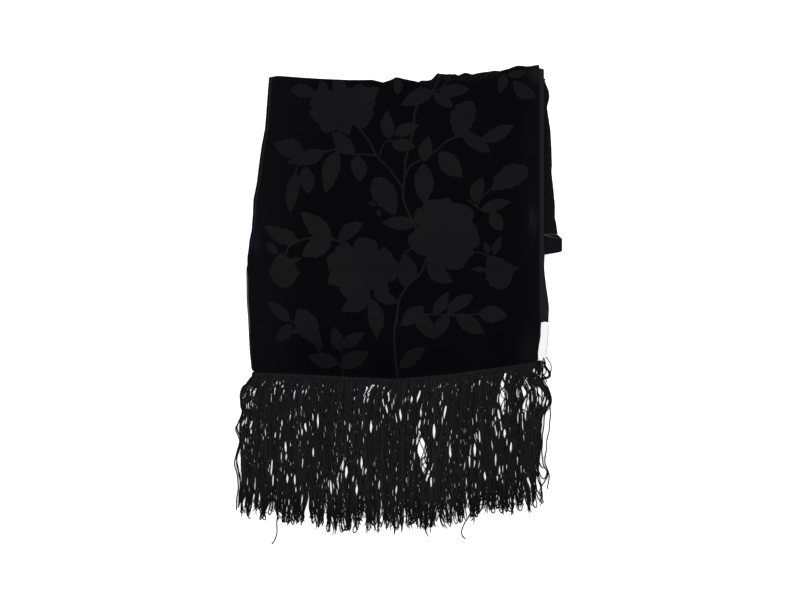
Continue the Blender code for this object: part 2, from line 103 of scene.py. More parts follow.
corners = [(x * FLOOR_HALF, y * FLOOR_HALF, FLOOR_TOP) for x, y in ((-1, -1), (1, -1), (1, 1), (-1, 1))]
mesh = bpy.data.meshes.new("floor")
mesh.from_pydata(corners, [], [(0, 1, 2, 3)])
floor = bpy.data.objects.new("floor", mesh)
bpy.context.scene.collection.objects.link(floor)
# Opal acrylic with a ground surface: no gloss, a faint mottle, and light from below
board, tree, shader, place = start_finish("opal_acrylic", {
    "Roughness": 0.9, "IOR": 1.49, "Specular IOR Level": 0.1, "Emission Color": linear("#ffffff"),
    "Emission Strength": 0.45,
})
mottle = add_node(tree, "TexNoise", {"Scale": 6, "Detail": 3}, {"Vector": place})
tone = add_node(tree, "Mix", {"data_type": "RGBA", 6: linear("#f8f8f7"), 7: linear("#fbfbfb")},
                {0: mottle.outputs["Fac"]})
tree.links.new(tone.outputs[2], shader.inputs["Base Color"])
mesh.materials.append(board)

world = bpy.data.worlds.new("room")
world.use_nodes = True
world.node_tree.nodes["Background"].inputs["Color"].default_value = linear("#fdfdff")
world.node_tree.nodes["Background"].inputs["Strength"].default_value = 0.95
bpy.context.scene.world = world
bpy.context.scene.view_settings.view_transform = "Standard"
for i, (x, y, z, side, power) in enumerate(SOFT_BOXES):
    light = bpy.data.lights.new(f"soft_box_{i}", "AREA")
    light.size = side
    light.energy = power
    lamp = bpy.data.objects.new(light.name, light)
    lamp.location = (x, y, z)
    lamp.rotation_euler = Vector((-x, -y, -z)).to_track_quat("-Z", "Y").to_euler()
    lamp.visible_camera = False
    bpy.context.scene.collection.objects.link(lamp)


# Front: the stretch of burnt-out velvet that faces up. Its black silk pile stands on a sheer ground,
# and flowers and leaves are etched out of it. It runs from the hem over the top fold, and is sewn
# to the plain back cloth along its sides.
MM = 0.001
CLOTH = 1.8
# Pieces lie this far apart at their seams
SEAM_GAP = 0.3
# Top fold: x, y of its outermost line
TOP_FOLD = (
    (-160, 284.5), (-150.4, 286.2), (-97.5, 282.5), (-66.2, 281.2), (-47.5, 280.9), (-32.5, 281.2),
    (-18.8, 278.2), (-10, 280.6), (-2.5, 284.4), (5, 283.1), (15, 280.6), (25.6, 278.8), (28.8, 280.4),
    (36.2, 280), (41.2, 281.2), (49.4, 289.4), (58.8, 288.2), (71.2, 288.4), (75, 286.9), (83.8, 290),
    (92.5, 288.1), (102.5, 290), (120, 292.5), (127.5, 291.9), (148.8, 298.8), (165, 298.1), (175.7, 300),
    (175.8, 296.6), (181.5, 295), (190, 289),
)
# Hem: x, y
HEM = (
    (-190, -83.4), (-181.2, -83.8), (-122.5, -86.2), (-60, -89.5), (-2.5, -91.9), (65, -86.2),
    (127.5, -77.5), (165, -71.9), (175, -70), (190, -67),
)
# Left outline, right edge of the velvet, outer edge of the rim beside it, width of the left rim: y, x
LEFT_EDGE = (
    (-83.8, -181.2), (-80.9, -182.8), (-58.1, -185), (-20, -186.9), (6.2, -188.8), (41.2, -189.2),
    (53.8, -188.5), (66.2, -186.2), (81.2, -184.4), (93.8, -181.6), (116.2, -180), (131.2, -179.5),
    (153.8, -175), (170.6, -173.1), (197.5, -169.4), (220, -165), (252.5, -162.5), (284.5, -160),
)
RIGHT_EDGE = ((-70, 173.8), (-18.8, 176.9), (6.2, 176), (62.5, 176), (86, 175.6), (300, 175.6))
RIM_OUTER = (
    (-70, 184), (-58.8, 185.6), (-37.5, 187.6), (-18.8, 188.2), (-3.8, 188.8), (6.2, 187.9), (18.8, 186),
    (31.2, 184.4), (43.8, 182.9), (52.5, 182.6), (62.5, 183.2), (86, 182), (300, 182),
)
LEFT_RIM = ((-83, 1.8), (-60, 2.3), (30, 2.3), (48, 1.5), (62, 0))
# Between these y the left rim goes under the velvet, which from there up turns round the edge itself
RIM_END = (44, 62)
# Mid line of the cloth over the layers under it: y, height
RISE = ((34, 0.9), (61, 5.5), (70, 6), (95, 8.8))
EDGE_DROOP = 0.7
EDGE_DROOP_WIDTH = 14
# Gathers of the top fold: x at the fold, half width, rise, how far each runs down, lean per mm of that
GATHERS = (
    (-28, 7, 0.8, 24, 0), (-2.5, 8, 2.2, 44, 0.1), (14, 6, 0.8, 20, 0), (32, 6, 1, 26, 0.05),
    (51, 8, 2.4, 50, 0.12), (67, 6, 1.4, 30, 0), (84, 7, 2, 40, 0.06), (104, 8, 1.5, 32, 0),
    (127, 9, 2, 44, -0.08), (151, 8, 1.8, 38, 0), (171, 6, 2.4, 52, -0.04),
)
# Soft creases, ridges up and troughs down: x, y at one end, x, y at the other, half width, height
CREASES = (
    (-18, 279, -22, 236, 3.5, -0.9), (6, 282, 10, 248, 2.6, -0.6), (26, 279, 30, 240, 3, -0.9),
    (42, 283, 52, 238, 2.6, -0.8), (60, 288, 64, 258, 2.2, -0.6), (75, 287, 80, 250, 2.8, -0.8),
    (93, 288, 95, 258, 2.4, -0.7), (113, 291, 110, 262, 3, -0.5), (139, 296, 133, 252, 3.2, -0.9),
    (160, 298, 160, 256, 2.6, -0.8), (-62, 281, -58, 258, 3, -0.4), (-120, 284, -124, 262, 4, -0.3),
    (-176, 92, -150, 70, 6, 0.7), (-180, 62, -146, 52, 6, -0.6), (-172, 120, -120, 96, 9, 0.5),
    (168, 128, 164, 84, 3, 0.6), (160, 118, 156, 92, 3, -0.5), (172, 70, 140, 58, 6, 0.6),
    (150, -60, 172, -36, 7, 0.5), (-60, 40, 60, 52, 12, 0.5), (-150, -40, -60, -30, 14, 0.4),
    (20, -60, 130, -46, 12, 0.4), (-140, 210, -30, 226, 16, 0.4), (40, 150, 150, 168, 16, 0.4),
)
# How far the velvet goes back under the fold
UNDER_FOLD = 6
COLUMNS = 290
ROWS = 284
FOLD_ROWS = 14
UNDER_ROWS = 4
ROLL_STEPS = 5
PILE = 0.55


def value_at(rows, at, column=1):
    """Values of a table's column at places in its first column, straight between the rows."""
    return np.interp(at, [row[0] for row in rows], [row[column] for row in rows])


def smooth(t):
    """Eases from 0 to 1."""
    t = np.clip(t, 0, 1)
    return t * t * (3 - 2 * t)


def past_rim(y):
    """0 where the left rim shows, 1 above it."""
    return smooth((y - RIM_END[0]) / (RIM_END[1] - RIM_END[0]))


def left_of_front(y):
    """Velvet's left edge: inside the plain rim where that shows, on the outline above it."""
    return value_at(LEFT_EDGE, y) + value_at(LEFT_RIM, y)


def right_of_front(y):
    return value_at(RIGHT_EDGE, y)


def gather_rise(x, y):
    below = value_at(TOP_FOLD, x) - y
    total = 0 * x
    for at, half_width, rise, run, lean in GATHERS:
        across = (x - at - lean * below) / half_width
        total = total + rise * np.exp(-across * across) * smooth(1 - below / run)
    return total


def rest_height(y):
    """Height of the front cloth's mid line over the layers under it."""
    height = np.full(np.shape(y), RISE[0][1])
    for (y0, z0), (y1, z1) in zip(RISE, RISE[1:]):
        height = height + (z1 - z0) * smooth((y - y0) / (y1 - y0))
    return height


def front_height(x, y):
    rest = rest_height(y)
    lifted = (rest - RISE[0][1]) / (RISE[-1][1] - RISE[0][1])
    edge = np.minimum(x - value_at(LEFT_EDGE, y), value_at(RIM_OUTER, y) - x)
    droop = EDGE_DROOP * (1 - smooth(edge / EDGE_DROOP_WIDTH))
    return rest - droop * lifted + gather_rise(x, y)


def to_segment(x, y, x0, y0, x1, y1):
    """Distance to a segment, and the share of it at the nearest point."""
    run_x, run_y = x1 - x0, y1 - y0
    share = np.clip(((x - x0) * run_x + (y - y0) * run_y) / (run_x * run_x + run_y * run_y), 0, 1)
    return np.hypot(x - x0 - share * run_x, y - y0 - share * run_y), share


def crease_height(x, y):
    """Height of the creases, which fade out at the hem."""
    total = 0 * x
    for x0, y0, x1, y1, half_width, height in CREASES:
        away, share = to_segment(x, y, x0, y0, x1, y1)
        total = total + height * np.exp(-(away / half_width) ** 2) * (1 - 0.6 * share)
    return total * smooth((y + 80) / 20)


def fold_start(x):
    """y where the round of the top fold begins."""
    top_y = value_at(TOP_FOLD, x)
    radius = (front_height(x, top_y - CLOTH - RISE[-1][1] / 2) - CLOTH / 2) / 2
    return top_y - CLOTH / 2 - radius


def fill_between(u, t, y, left, right, low, high):
    """x and y at shares of a stretch with its sides given over y and its ends over x, from a first y."""
    for _ in range(4):
        x = left(y) + (right(y) - left(y)) * u
        y = low(x) + (high(x) - low(x)) * t
    return x, y


def cloth_rows(across, along, arc_rows, under, left, right, lift):
    """Points of a stretch from the hem up, over the top fold and back under it.

    across and along are shares; lift is how far the surface stands off the mid line. Gives x, y, z
    and the distance along the cloth, which the motifs follow over the fold.
    """
    u, t = np.meshgrid(across, along)
    x, y = fill_between(u, t, -85 + 370 * t, left, right, lambda x: value_at(HEM, x), fold_start)
    z = front_height(x, y) + crease_height(x, y) + lift
    parts = [(x, y, z, y)]
    x, y, crest = x[-1], y[-1], z[-1]
    radius = (crest - lift - CLOTH / 2) / 2
    for angle in np.linspace(0, math.pi, arc_rows + 1)[1:]:
        reach = radius + lift
        parts.append((x, y + reach * math.sin(angle), CLOTH / 2 + radius + reach * math.cos(angle),
                      y + reach * angle))
    for back in under:
        parts.append((x, y - back, x * 0 + CLOTH / 2 - lift, y + (radius + lift) * math.pi + back))
    return [np.vstack([np.atleast_2d(part[i]) for part in parts]) for i in range(4)]


def add_piece(name, points, faces, finish, slot, *nodes):
    mesh = bpy.data.meshes.new(name)
    mesh.from_pydata((np.asarray(points) * MM).tolist(), [], np.asarray(faces).tolist())
    mesh.materials.append(finish)
    mesh.shade_smooth()
    piece = bpy.data.objects.new(name, mesh)
    bpy.context.scene.collection.objects.link(piece)
    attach(piece, "root")
    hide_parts(*nodes)
    return piece


def add_values(piece, name, values):
    """Value at each of a piece's points, for its finish to read."""
    layer = piece.data.attributes.new(name, "FLOAT", "POINT")
    layer.data.foreach_set("value", np.asarray(values, dtype=np.float32).ravel())


def grid_faces(index):
    """Four-sided faces over a grid of point numbers."""
    return np.stack([index[:-1, :-1], index[:-1, 1:], index[1:, 1:], index[1:, :-1]], axis=-1).reshape(-1, 4)


# Motifs, in mm on the flat cloth. Leaves: x, y of the base, x, y of the tip, width
LEAVES = (
    (-104, 262, -136, 268, 17), (-94, 260, -96, 282, 12), (-50, 254, -24, 270, 19), (0, 284, -2, 262, 12),
    (44, 266, 4, 250, 19), (44, 264, 68, 246, 15), (52, 268, 88, 268, 17), (132, 288, 126, 262, 12),
    (142, 278, 172, 258, 18), (136, 286, 162, 292, 10), (-12, 206, -12, 242, 17), (-6, 212, 26, 224, 15),
    (-8, 202, 22, 196, 16), (34, 178, 38, 210, 17), (32, 176, 34, 124, 24), (52, 192, 80, 158, 24),
    (80, 210, 116, 190, 17), (104, 206, 144, 224, 17), (96, 128, 104, 160, 17), (104, 118, 142, 128, 15),
    (116, 116, 130, 92, 17), (114, 64, 108, 80, 8), (120, 62, 128, 86, 10), (-118, 190, -156, 202, 22),
    (-90, 192, -138, 178, 19), (-54, 188, -82, 216, 19), (-74, 192, -90, 140, 22), (-50, 186, -48, 154, 20),
    (-116, 172, -112, 138, 20), (-128, 164, -134, 116, 17), (-84, 80, -122, 116, 24),
    (-124, 78, -168, 98, 19), (-82, 86, -120, 60, 23), (-74, 80, -44, 104, 17), (-150, 64, -164, 78, 10),
    (22, 102, -22, 102, 17), (10, 22, 10, 64, 25), (36, 50, 68, 28, 19), (-34, 12, -72, -8, 20),
    (-30, 12, 2, 4, 15), (-34, 8, -26, -42, 20), (44, -10, 64, 18, 15), (60, -10, 96, 12, 16),
    (4, -24, 32, -2, 19), (22, -12, 44, -42, 19), (62, -12, 44, -42, 17), (72, -12, 108, -34, 20),
    (100, -10, 136, -14, 21), (-136, -20, -164, 4, 16), (-134, -24, -150, -46, 16),
    (-72, -58, -82, -28, 15), (-70, -54, -42, -34, 16), (-76, -74, -114, -64, 18), (-72, -78, -36, -58, 21),
    (2, -78, 34, -54, 19),
)
# Small pointed leaves at the buds: base, tip, width
SEPALS = (
    (130, 156, 134, 174, 6), (128, 152, 118, 162, 6), (-26, 124, -38, 128, 6), (-22, 118, -26, 110, 7),
    (-136, 54, -120, 58, 7), (-146, 48, -166, 42, 7), (-138, 44, -122, 40, 8), (110, 46, 90, 46, 7),
    (130, 46, 152, 47, 7), (-110, -22, -100, -18, 7), (-120, -28, -134, -36, 7), (-104, -34, -96, -54, 8),
    (78, 218, 96, 212, 6),
)
# Buds: base, tip, width
BUDS = (
    (72, 208, 92, 254, 30), (116, 142, 162, 172, 27), (-4, 112, -30, 158, 30), (-146, 66, -138, 22, 34),
    (112, 62, 134, 20, 34), (-98, -50, -126, -6, 28),
)
# Roses: centre, half width, half height, outer petals, turn in degrees
ROSES = ((-67, 247, 40, 34, 8, 12), (60, 90, 43, 45, 9, 40), (-44, 46, 43, 40, 8, 78))
# Stems: width, then x, y along each
STEMS = (
    (3.1, ((0, -92), (-4, -62), (-4, -34), (0, 0), (10, 22), (28, 40), (40, 66))),
    (2.4, ((22, 72), (8, 64), (-2, 40))),
    (2.2, ((36, 46), (46, 56), (60, 60))),
    (3.1, ((24, 90), (12, 118), (6, 144), (8, 166), (12, 190), (18, 216), (22, 240), (28, 254), (44, 270),
           (56, 296))),
    (2.6, ((6, 146), (-10, 168), (-26, 186), (-36, 204), (-50, 222))),
    (2.4, ((-26, 186), (-42, 188), (-56, 188), (-72, 194), (-94, 190), (-114, 184), (-128, 166),
           (-132, 150))),
    (2.4, ((8, 160), (16, 174), (28, 180), (46, 192), (62, 206), (80, 210))),
    (2.1, ((-22, 186), (-20, 196), (-12, 204), (2, 204))),
    (2.2, ((44, 266), (58, 276), (70, 294))),
    (2.1, ((88, 130), (100, 122), (110, 118))),
    (2.1, ((98, 124), (110, 140), (122, 148))),
    (2.1, ((86, 66), (102, 66), (116, 60))),
    (2.4, ((-64, 76), (-84, 82), (-106, 84), (-132, 76), (-142, 60))),
    (2.1, ((-36, 18), (-32, 2))),
    (2.3, ((2, -24), (22, -14), (40, -12), (62, -12), (80, -14), (100, -10))),
    (2.1, ((-136, -18), (-128, -24), (-116, -30))),
    (2.1, ((-104, -46), (-94, -62), (-74, -74), (-68, -92))),
    (2.1, ((-74, -44), (-70, -60), (-70, -82))),
)
# Depth is worked out up to this far outside a motif
MOTIF_REACH = 8.0
# Soft patches on the front: x, y, half width, half height
# Painted highlight on the wrinkles at the right edge
WRINKLE_HIGHLIGHT_PATCH = (168, 106, 5, 17)
LOW_CORNER = (163, -54, 12, 18)
HIGH_CORNER = (172, 288, 8, 10)
# Painted plum sheen at the left edge
SHEEN_PATCH_LEFT = (-177, 80, 6, 17)


def leaf_depth(x, y, x0, y0, x1, y1, width, widest, blunt, wave):
    """How far inside a pointed shape each place is: widest is a power that moves the belly."""
    length = math.hypot(x1 - x0, y1 - y0)
    along = ((x - x0) * (x1 - x0) + (y - y0) * (y1 - y0)) / length ** 2
    across = ((y - y0) * (x1 - x0) - (x - x0) * (y1 - y0)) / length
    inside = np.clip(along, 0, 1)
    bow = 0.05 * length * math.sin(x0 + 2 * y1)
    across = across - bow * 4 * inside * (1 - inside)
    half = width / 2 * np.sin(math.pi * inside ** widest) ** blunt
    half = half * (1 + wave * np.sin(30 * inside + x0 + np.sign(across)))
    return np.where(inside == along, (half - np.abs(across)) * 0.92,
                    -np.hypot((along - inside) * length, across))


def rose_depth(x, y, cx, cy, half_width, half_height, petals, turn):
    """Round flower with overlapping outer petals, each with a wavy edge."""
    mean = (half_width + half_height) / 2
    depth = mean * 0.72 - np.hypot((x - cx) / half_width, (y - cy) / half_height) * mean
    for i in range(petals):
        angle = math.radians(turn) + 2 * math.pi * (i + 0.26 * math.sin(5 * i + turn)) / petals
        size = mean * (0.33 + 0.09 * math.sin(3 * i + turn))
        reach = 1 + 0.07 * math.sin(7 * i + 2 * turn)
        px = cx + math.cos(angle) * (half_width * reach - size * 0.9)
        py = cy + math.sin(angle) * (half_height * reach - size * 0.9)
        ripple = 1.3 * np.sin(4 * np.arctan2(y - py, x - px) + 2 * i)
        depth = np.maximum(depth, size + ripple - np.hypot(x - px, y - py))
    return depth


def stem_points(points):
    """Smooth line through a stem's points."""
    points = np.array(points, dtype=float)
    padded = np.vstack([2 * points[0] - points[1], points, 2 * points[-1] - points[-2]])
    line = []
    for before, a, b, after in zip(padded, padded[1:], padded[2:], padded[3:]):
        for t in np.linspace(0, 1, 7)[:-1]:
            line.append(0.5 * (2 * a + (b - before) * t + (2 * before - 5 * a + 4 * b - after) * t ** 2
                               + (3 * a - before - 3 * b + after) * t ** 3))
    return np.array(line + [points[-1]])


def motif_depth(x, y):
    """Distance inside the nearest motif, negative outside, in mm."""
    wx = x + 0.7 * np.sin(y / 9) + 0.4 * np.sin(x / 5 + y / 7)
    wy = y + 0.7 * np.sin(x / 8 + 1) + 0.4 * np.sin(y / 6 - x / 9)
    depth = np.full(x.shape, -MOTIF_REACH)

    def press(low, high, shape):
        near = ((wx > low[0] - MOTIF_REACH) & (wx < high[0] + MOTIF_REACH)
                & (wy > low[1] - MOTIF_REACH) & (wy < high[1] + MOTIF_REACH))
        depth[near] = np.maximum(depth[near], shape(wx[near], wy[near]))

    for rows, *form in ((LEAVES, 0.86, 0.85, 0.05), (SEPALS, 0.8, 1, 0.05), (BUDS, 1.25, 0.62, 0.07)):
        for x0, y0, x1, y1, width in rows:
            low = (min(x0, x1) - width / 2, min(y0, y1) - width / 2)
            high = (max(x0, x1) + width / 2, max(y0, y1) + width / 2)
            press(low, high, lambda px, py: leaf_depth(px, py, x0, y0, x1, y1, width, *form))
    for cx, cy, half_width, half_height, petals, turn in ROSES:
        press((cx - half_width, cy - half_height), (cx + half_width, cy + half_height),
              lambda px, py: rose_depth(px, py, cx, cy, half_width, half_height, petals, turn))
    for width, points in STEMS:
        line = stem_points(points)
        for a, b in zip(line, line[1:]):
            press(np.minimum(a, b), np.maximum(a, b),
                  lambda px, py: width / 2 - to_segment(px, py, *a, *b)[0])
    return depth


def patch(x, y, centre_x, centre_y, half_width, half_height):
    """Soft round patch, 1 at its centre."""
    return np.exp(-((x - centre_x) / half_width) ** 2 - ((y - centre_y) / half_height) ** 2)


# Flat part, fold and the little that goes under it, with the motifs sunk in the pile
across = np.concatenate([np.linspace(0, 0.016, 9), np.linspace(0.019, 1, COLUMNS - 9)])
along = np.linspace(0, 1, ROWS)
under = UNDER_FOLD * np.linspace(0, 1, UNDER_ROWS + 1)[1:]
x, y, z, run = cloth_rows(across, along, FOLD_ROWS, under, left_of_front, right_of_front, CLOTH / 2)
motif = motif_depth(x, run)
fold_tilt = np.linspace(0, math.pi, FOLD_ROWS + 1)[1:]
tilt = np.concatenate([np.zeros(ROWS), fold_tilt, np.full(UNDER_ROWS, math.pi)])
normal_y, normal_z = np.sin(tilt), np.cos(tilt)
sunk = PILE * smooth((motif + 0.7) / 1.4)
sunk[ROWS + FOLD_ROWS:] = 0
cloth = np.stack([x, y - sunk * normal_y[:, None], z - sunk * normal_z[:, None], motif])
# Sides: rolled down in added columns, rounder on the left above the rim, with a little run back under
sides = []
for side, column in ((-1, 0), (1, -1)):
    edge = cloth[:, :, column]
    turn_radius = 0.35 + 0.55 * past_rim(edge[1]) * (side < 0)
    roll = []
    for angle in np.linspace(math.pi / 2, -math.pi / 2, ROLL_STEPS + 1)[1:]:
        out = side * turn_radius * math.cos(angle)
        down = turn_radius * (1 - math.sin(angle))
        roll.append(edge + [out, -down * normal_y, -down * normal_z, 0 * down])
    roll.append(roll[-1].copy())
    roll[-1][0] = edge[0] - side * 3
    sides.append(np.stack(roll, axis=-1))
cloth = np.concatenate([sides[0][:, :, ::-1], cloth, sides[1]], axis=2)
# Hem: turned down on the back cloth in a small half round
turned = [cloth[:, 0] - np.array([[0], [0.3 * math.cos(angle)], [0.35 * (1 - math.sin(angle))], [0]])
          for angle in np.linspace(-math.pi / 2, math.pi / 2, 4)[:-1]]
x, y, z, motif = np.concatenate([np.stack(turned, axis=1), cloth], axis=1)

# Pale: a line along the left side seam, two lighter corners, and painted highlights on the wrinkles at the
# right edge
from_left = x - value_at(LEFT_EDGE, y)
from_right = value_at(RIM_OUTER, y) - x
seam_line = np.exp(-((from_left - 2.4) / 0.8) ** 2) * smooth((y - 60) / 20)
wrinkle_highlight = 0.5 + 0.5 * np.sin(x / 1.1 + 2 * np.sin(y / 3.1)) * np.sin(y / 2.3)
wrinkle_highlight = 0.8 * patch(x, y, *WRINKLE_HIGHLIGHT_PATCH) * wrinkle_highlight
corner = 0.2 * patch(x, y, *LOW_CORNER) + 0.5 * patch(x, y, *HIGH_CORNER)
# Painted highlights on the crumpled nap in the gathers under the fold, on the right half
under_fold = value_at(TOP_FOLD, x) - y
gather_highlight = 0.5 + 0.5 * np.sin(x / 1.3 + 2 * np.sin(y / 2.1)) * np.sin(y / 1.7 + x / 5)
gather_highlight = 0.42 * np.exp(-((under_fold - 5) / 4) ** 2) * gather_highlight
gather_highlight = gather_highlight * smooth((x - 20) / 30) * smooth((136 - x) / 14)
# Painted plum sheen, where the pile catches the light in a slanting patch at the left edge
plum_sheen_mask = patch(x + 0.1 * (y - 78), y, *SHEEN_PATCH_LEFT)

# Burnt-out silk velvet, woven and then etched: pile that swallows nearly all light, with a low soft
# sheen at a slant, and a flat, slightly lighter ground where the motifs are eaten out of it.
velvet, tree, shader, place = start_finish("burnt_out_velvet", {
    "Roughness": 0.8, "IOR": 1.5, "Specular IOR Level": 0.015, "Sheen Weight": 0.006, "Sheen Roughness": 0.35,
    "Sheen Tint": linear("#b9bcc8"),
})
motif_value, margin, pale, plum_sheen, faint = (
    add_node(tree, "Attribute", {"attribute_name": name}).outputs["Fac"]
    for name in ("motif", "margin", "pale", "plum_sheen", "faint"))
etched = add_node(tree, "MapRange", {
    "interpolation_type": "SMOOTHSTEP", "From Min": -0.4, "From Max": 0.4,
}, {"Value": motif_value})
# Nap pushed one way and the other, in patches about 70 mm wide
nap = add_node(tree, "TexNoise", {"Scale": 14, "Detail": 3, "Roughness": 0.55}, {"Vector": place})
lift = add_node(tree, "MapRange", {"From Min": 0.3, "From Max": 0.7, "To Min": -0.12, "To Max": 0.12},
                {"Value": nap.outputs["Fac"]})
lifted = add_node(tree, "Math", {"operation": "ADD", "use_clamp": True}, {0: margin, 1: lift.outputs[0]})
ground = add_node(tree, "Mix", {"data_type": "RGBA", 6: linear("#020203"), 7: linear("#08080a")},
                  {0: lifted.outputs[0]})
# The etched ground's dye varies a little over the cloth, warm or cool
dye = add_node(tree, "TexNoise", {"Scale": 7, "Detail": 1}, {"Vector": place})
dyed = add_node(tree, "MapRange", {"From Min": 0.48, "From Max": 0.7}, {"Value": dye.outputs["Fac"]})
etched_tone = add_node(tree, "Mix", {"data_type": "RGBA", 6: linear("#101012"), 7: linear("#121211")},
                       {0: dyed.outputs[0]})
etched_low = add_node(tree, "Mix", {"data_type": "RGBA", 7: linear("#0a0a0b")},
                      {0: faint, 6: etched_tone.outputs[2]})
both = add_node(tree, "Mix", {"data_type": "RGBA"},
                {0: etched.outputs[0], 6: ground.outputs[2], 7: etched_low.outputs[2]})
# Pale marks, with painted highlights on the wrinkles and in the gathers
pale_and_highlit = add_node(tree, "Mix", {"data_type": "RGBA", 7: linear("#1b1b1d")}, {0: pale, 6: both.outputs[2]})
# Painted plum sheen at the left edge
with_plum_sheen = add_node(tree, "Mix", {"data_type": "RGBA", 7: linear("#0f0c14")}, {0: plum_sheen, 6: pale_and_highlit.outputs[2]})
tree.links.new(with_plum_sheen.outputs[2], shader.inputs["Base Color"])
# Pile tufts stand 0.4 mm apart and ground threads 0.5 mm; both are drawn about 1.4 mm apart to show
tufts = add_node(tree, "TexNoise", {"Scale": 720, "Detail": 1}, {"Vector": place})
threads = [add_node(tree, "TexWave", {"bands_direction": way, "Scale": 220, "Distortion": 0.6},
                    {"Vector": place}) for way in "XY"]
weave = add_node(tree, "Math", {"operation": "MAXIMUM"},
                 {0: threads[0].outputs["Fac"], 1: threads[1].outputs["Fac"]})
relief = add_node(tree, "Mix", {"data_type": "FLOAT"},
                  {0: etched.outputs[0], 2: tufts.outputs["Fac"], 3: weave.outputs[0]})
bump = add_node(tree, "Bump", {"Strength": 0.35, "Distance": 0.0004}, {"Height": relief.outputs[0]})
tree.links.new(bump.outputs[0], shader.inputs["Normal"])

points = np.stack([x, y, z], axis=-1).reshape(-1, 3)
front = add_piece("velvet_front", points, grid_faces(np.arange(x.size).reshape(x.shape)), velvet,
                  "velvet", "front_panel")
add_values(front, "motif", motif)
near_side = 1 - smooth(np.minimum(from_left, 1.7 * from_right) / 80)
add_values(front, "margin", np.clip(0.3 + 0.6 * near_side - 0.12 * smooth((-y - 20) / 50), 0, 1))
# Pale: the seam line and two corners, with painted highlights on wrinkles and gathers
add_values(front, "pale", np.clip(0.9 * seam_line + wrinkle_highlight + corner + gather_highlight, 0, 1))
# Painted plum sheen
add_values(front, "plum_sheen", plum_sheen_mask)
# The etched ground is dimmer towards the hem
add_values(front, "faint", 0.75 * smooth((-y - 10) / 55))


# Back cloth: plain black crepe, as long as the velvet and sewn to its back along all sides. It shows
# as a rim along the right edge and as a thin line at the lower left, and goes over the fold too.
LINING_RADIUS = 0.6
LINING_SIDE = 366
LINING_FOLD_ROWS = 10
HEM_SEAM = 1.5
CORNER_COLUMNS = (359.3, 359.5)


def edge_steps(length, count, radius):
    """Places over a cloth's width, close together where its edges are rounded."""
    near = radius * np.array([0, 0.13, 0.5])
    return np.concatenate([near, np.linspace(radius, length - radius, count), length - near[::-1]])


def roundness(steps, radius):
    """Share of the full thickness at each place."""
    away = np.clip(np.minimum(steps, steps[-1] - steps) / radius, 0, 1)
    return np.sqrt(1 - (1 - away) ** 2)


def cloth_grid(width, columns, length, rows, radius, square=0):
    """Shares across and along a cloth, and that of its thickness, full along the first length square."""
    across, along = edge_steps(width, columns, radius), edge_steps(length, rows, radius)
    thickness = np.outer(np.where(along < square, 1, roundness(along, radius)), roundness(across, radius))
    return *np.meshgrid(across / width, along / length), thickness


def closed_cloth(middle, half, top_share=1):
    """Points and faces of a cloth of some thickness with round edges, closed all round."""
    normal = np.cross(np.gradient(middle, axis=1), np.gradient(middle, axis=0))
    normal /= np.linalg.norm(normal, axis=-1, keepdims=True)
    top = middle + normal * (half * top_share)[..., None]
    low = middle - normal * half[..., None]
    index = np.arange(half.size).reshape(half.shape)
    below = index.copy()
    below[1:-1, 1:-1] = half.size + np.arange((half.shape[0] - 2) * (half.shape[1] - 2)).reshape(
        half.shape[0] - 2, half.shape[1] - 2)
    points = np.vstack([top.reshape(-1, 3), low[1:-1, 1:-1].reshape(-1, 3)])
    return points, np.vstack([grid_faces(index), grid_faces(below)[:, ::-1]])


def lining_left(y):
    """On the outline where the rim shows, with the ease of a rolled edge, and under the velvet above it."""
    return value_at(LEFT_EDGE, y) - 0.5 + 3.1 * past_rim(y)


def lining_right(y):
    return value_at(RIM_OUTER, y)


# Polyester crepe, piece-dyed: matt, a shade greyer than the velvet, with a fine dry grain
crepe, tree, shader, place = start_finish("crepe_lining", {
    "Roughness": 0.7, "IOR": 1.5, "Specular IOR Level": 0.05, "Sheen Weight": 0.01, "Sheen Roughness": 0.5,
})
# Lengthwise streaks where the cloth is pulled along its length, 3 mm wide and 80 mm long
pulled = add_node(tree, "Mapping", {"Scale": (300, 12, 300)}, {"Vector": place})
streaks = add_node(tree, "TexNoise", {"Scale": 1, "Detail": 2}, {"Vector": pulled.outputs[0]})
tone = add_node(tree, "Mix", {"data_type": "RGBA", 6: linear("#0f0f10"), 7: linear("#161618")},
                {0: streaks.outputs["Fac"]})
# Along the round of the left rim a painted highlight makes it pale, and on the back stretch it is darkened
# with painted shade
pale = add_node(tree, "Attribute", {"attribute_name": "pale"}).outputs["Fac"]
rim_highlight = add_node(tree, "Mix", {"data_type": "RGBA", 7: linear("#4c4c4e")}, {0: pale, 6: tone.outputs[2]})
deep = add_node(tree, "Attribute", {"attribute_name": "deep"}).outputs["Fac"]
shaded = add_node(tree, "Mix", {"data_type": "RGBA", "blend_type": "MULTIPLY", 7: (0.3, 0.3, 0.32, 1)},
                  {0: deep, 6: rim_highlight.outputs[2]})
tree.links.new(shaded.outputs[2], shader.inputs["Base Color"])
# Crepe yarns are 0.3 mm; their pebbled grain is drawn 1 mm wide to show
grain = add_node(tree, "TexNoise", {"Scale": 1000, "Detail": 2}, {"Vector": place})
bump = add_node(tree, "Bump", {"Strength": 0.4, "Distance": 0.0003}, {"Height": grain.outputs["Fac"]})
tree.links.new(bump.outputs[0], shader.inputs["Normal"])

# Two more columns stand where the velvet ends at the fold and the rim drops away from it
across_steps = np.sort(np.concatenate([edge_steps(LINING_SIDE, 110, LINING_RADIUS), CORNER_COLUMNS]))
along_steps = edge_steps(LINING_SIDE, 130, LINING_RADIUS)
x, y, z, _ = cloth_rows(across_steps / LINING_SIDE, along_steps / LINING_SIDE, LINING_FOLD_ROWS, (),
                        lining_left, lining_right, -SEAM_GAP)
y = y + HEM_SEAM * (1 - smooth((y + 92) / 60))
thick = np.concatenate([along_steps, along_steps[-1] + 2 * np.arange(1, LINING_FOLD_ROWS + 1)])
half = LINING_RADIUS * np.outer(roundness(thick, LINING_RADIUS), roundness(across_steps, LINING_RADIUS))
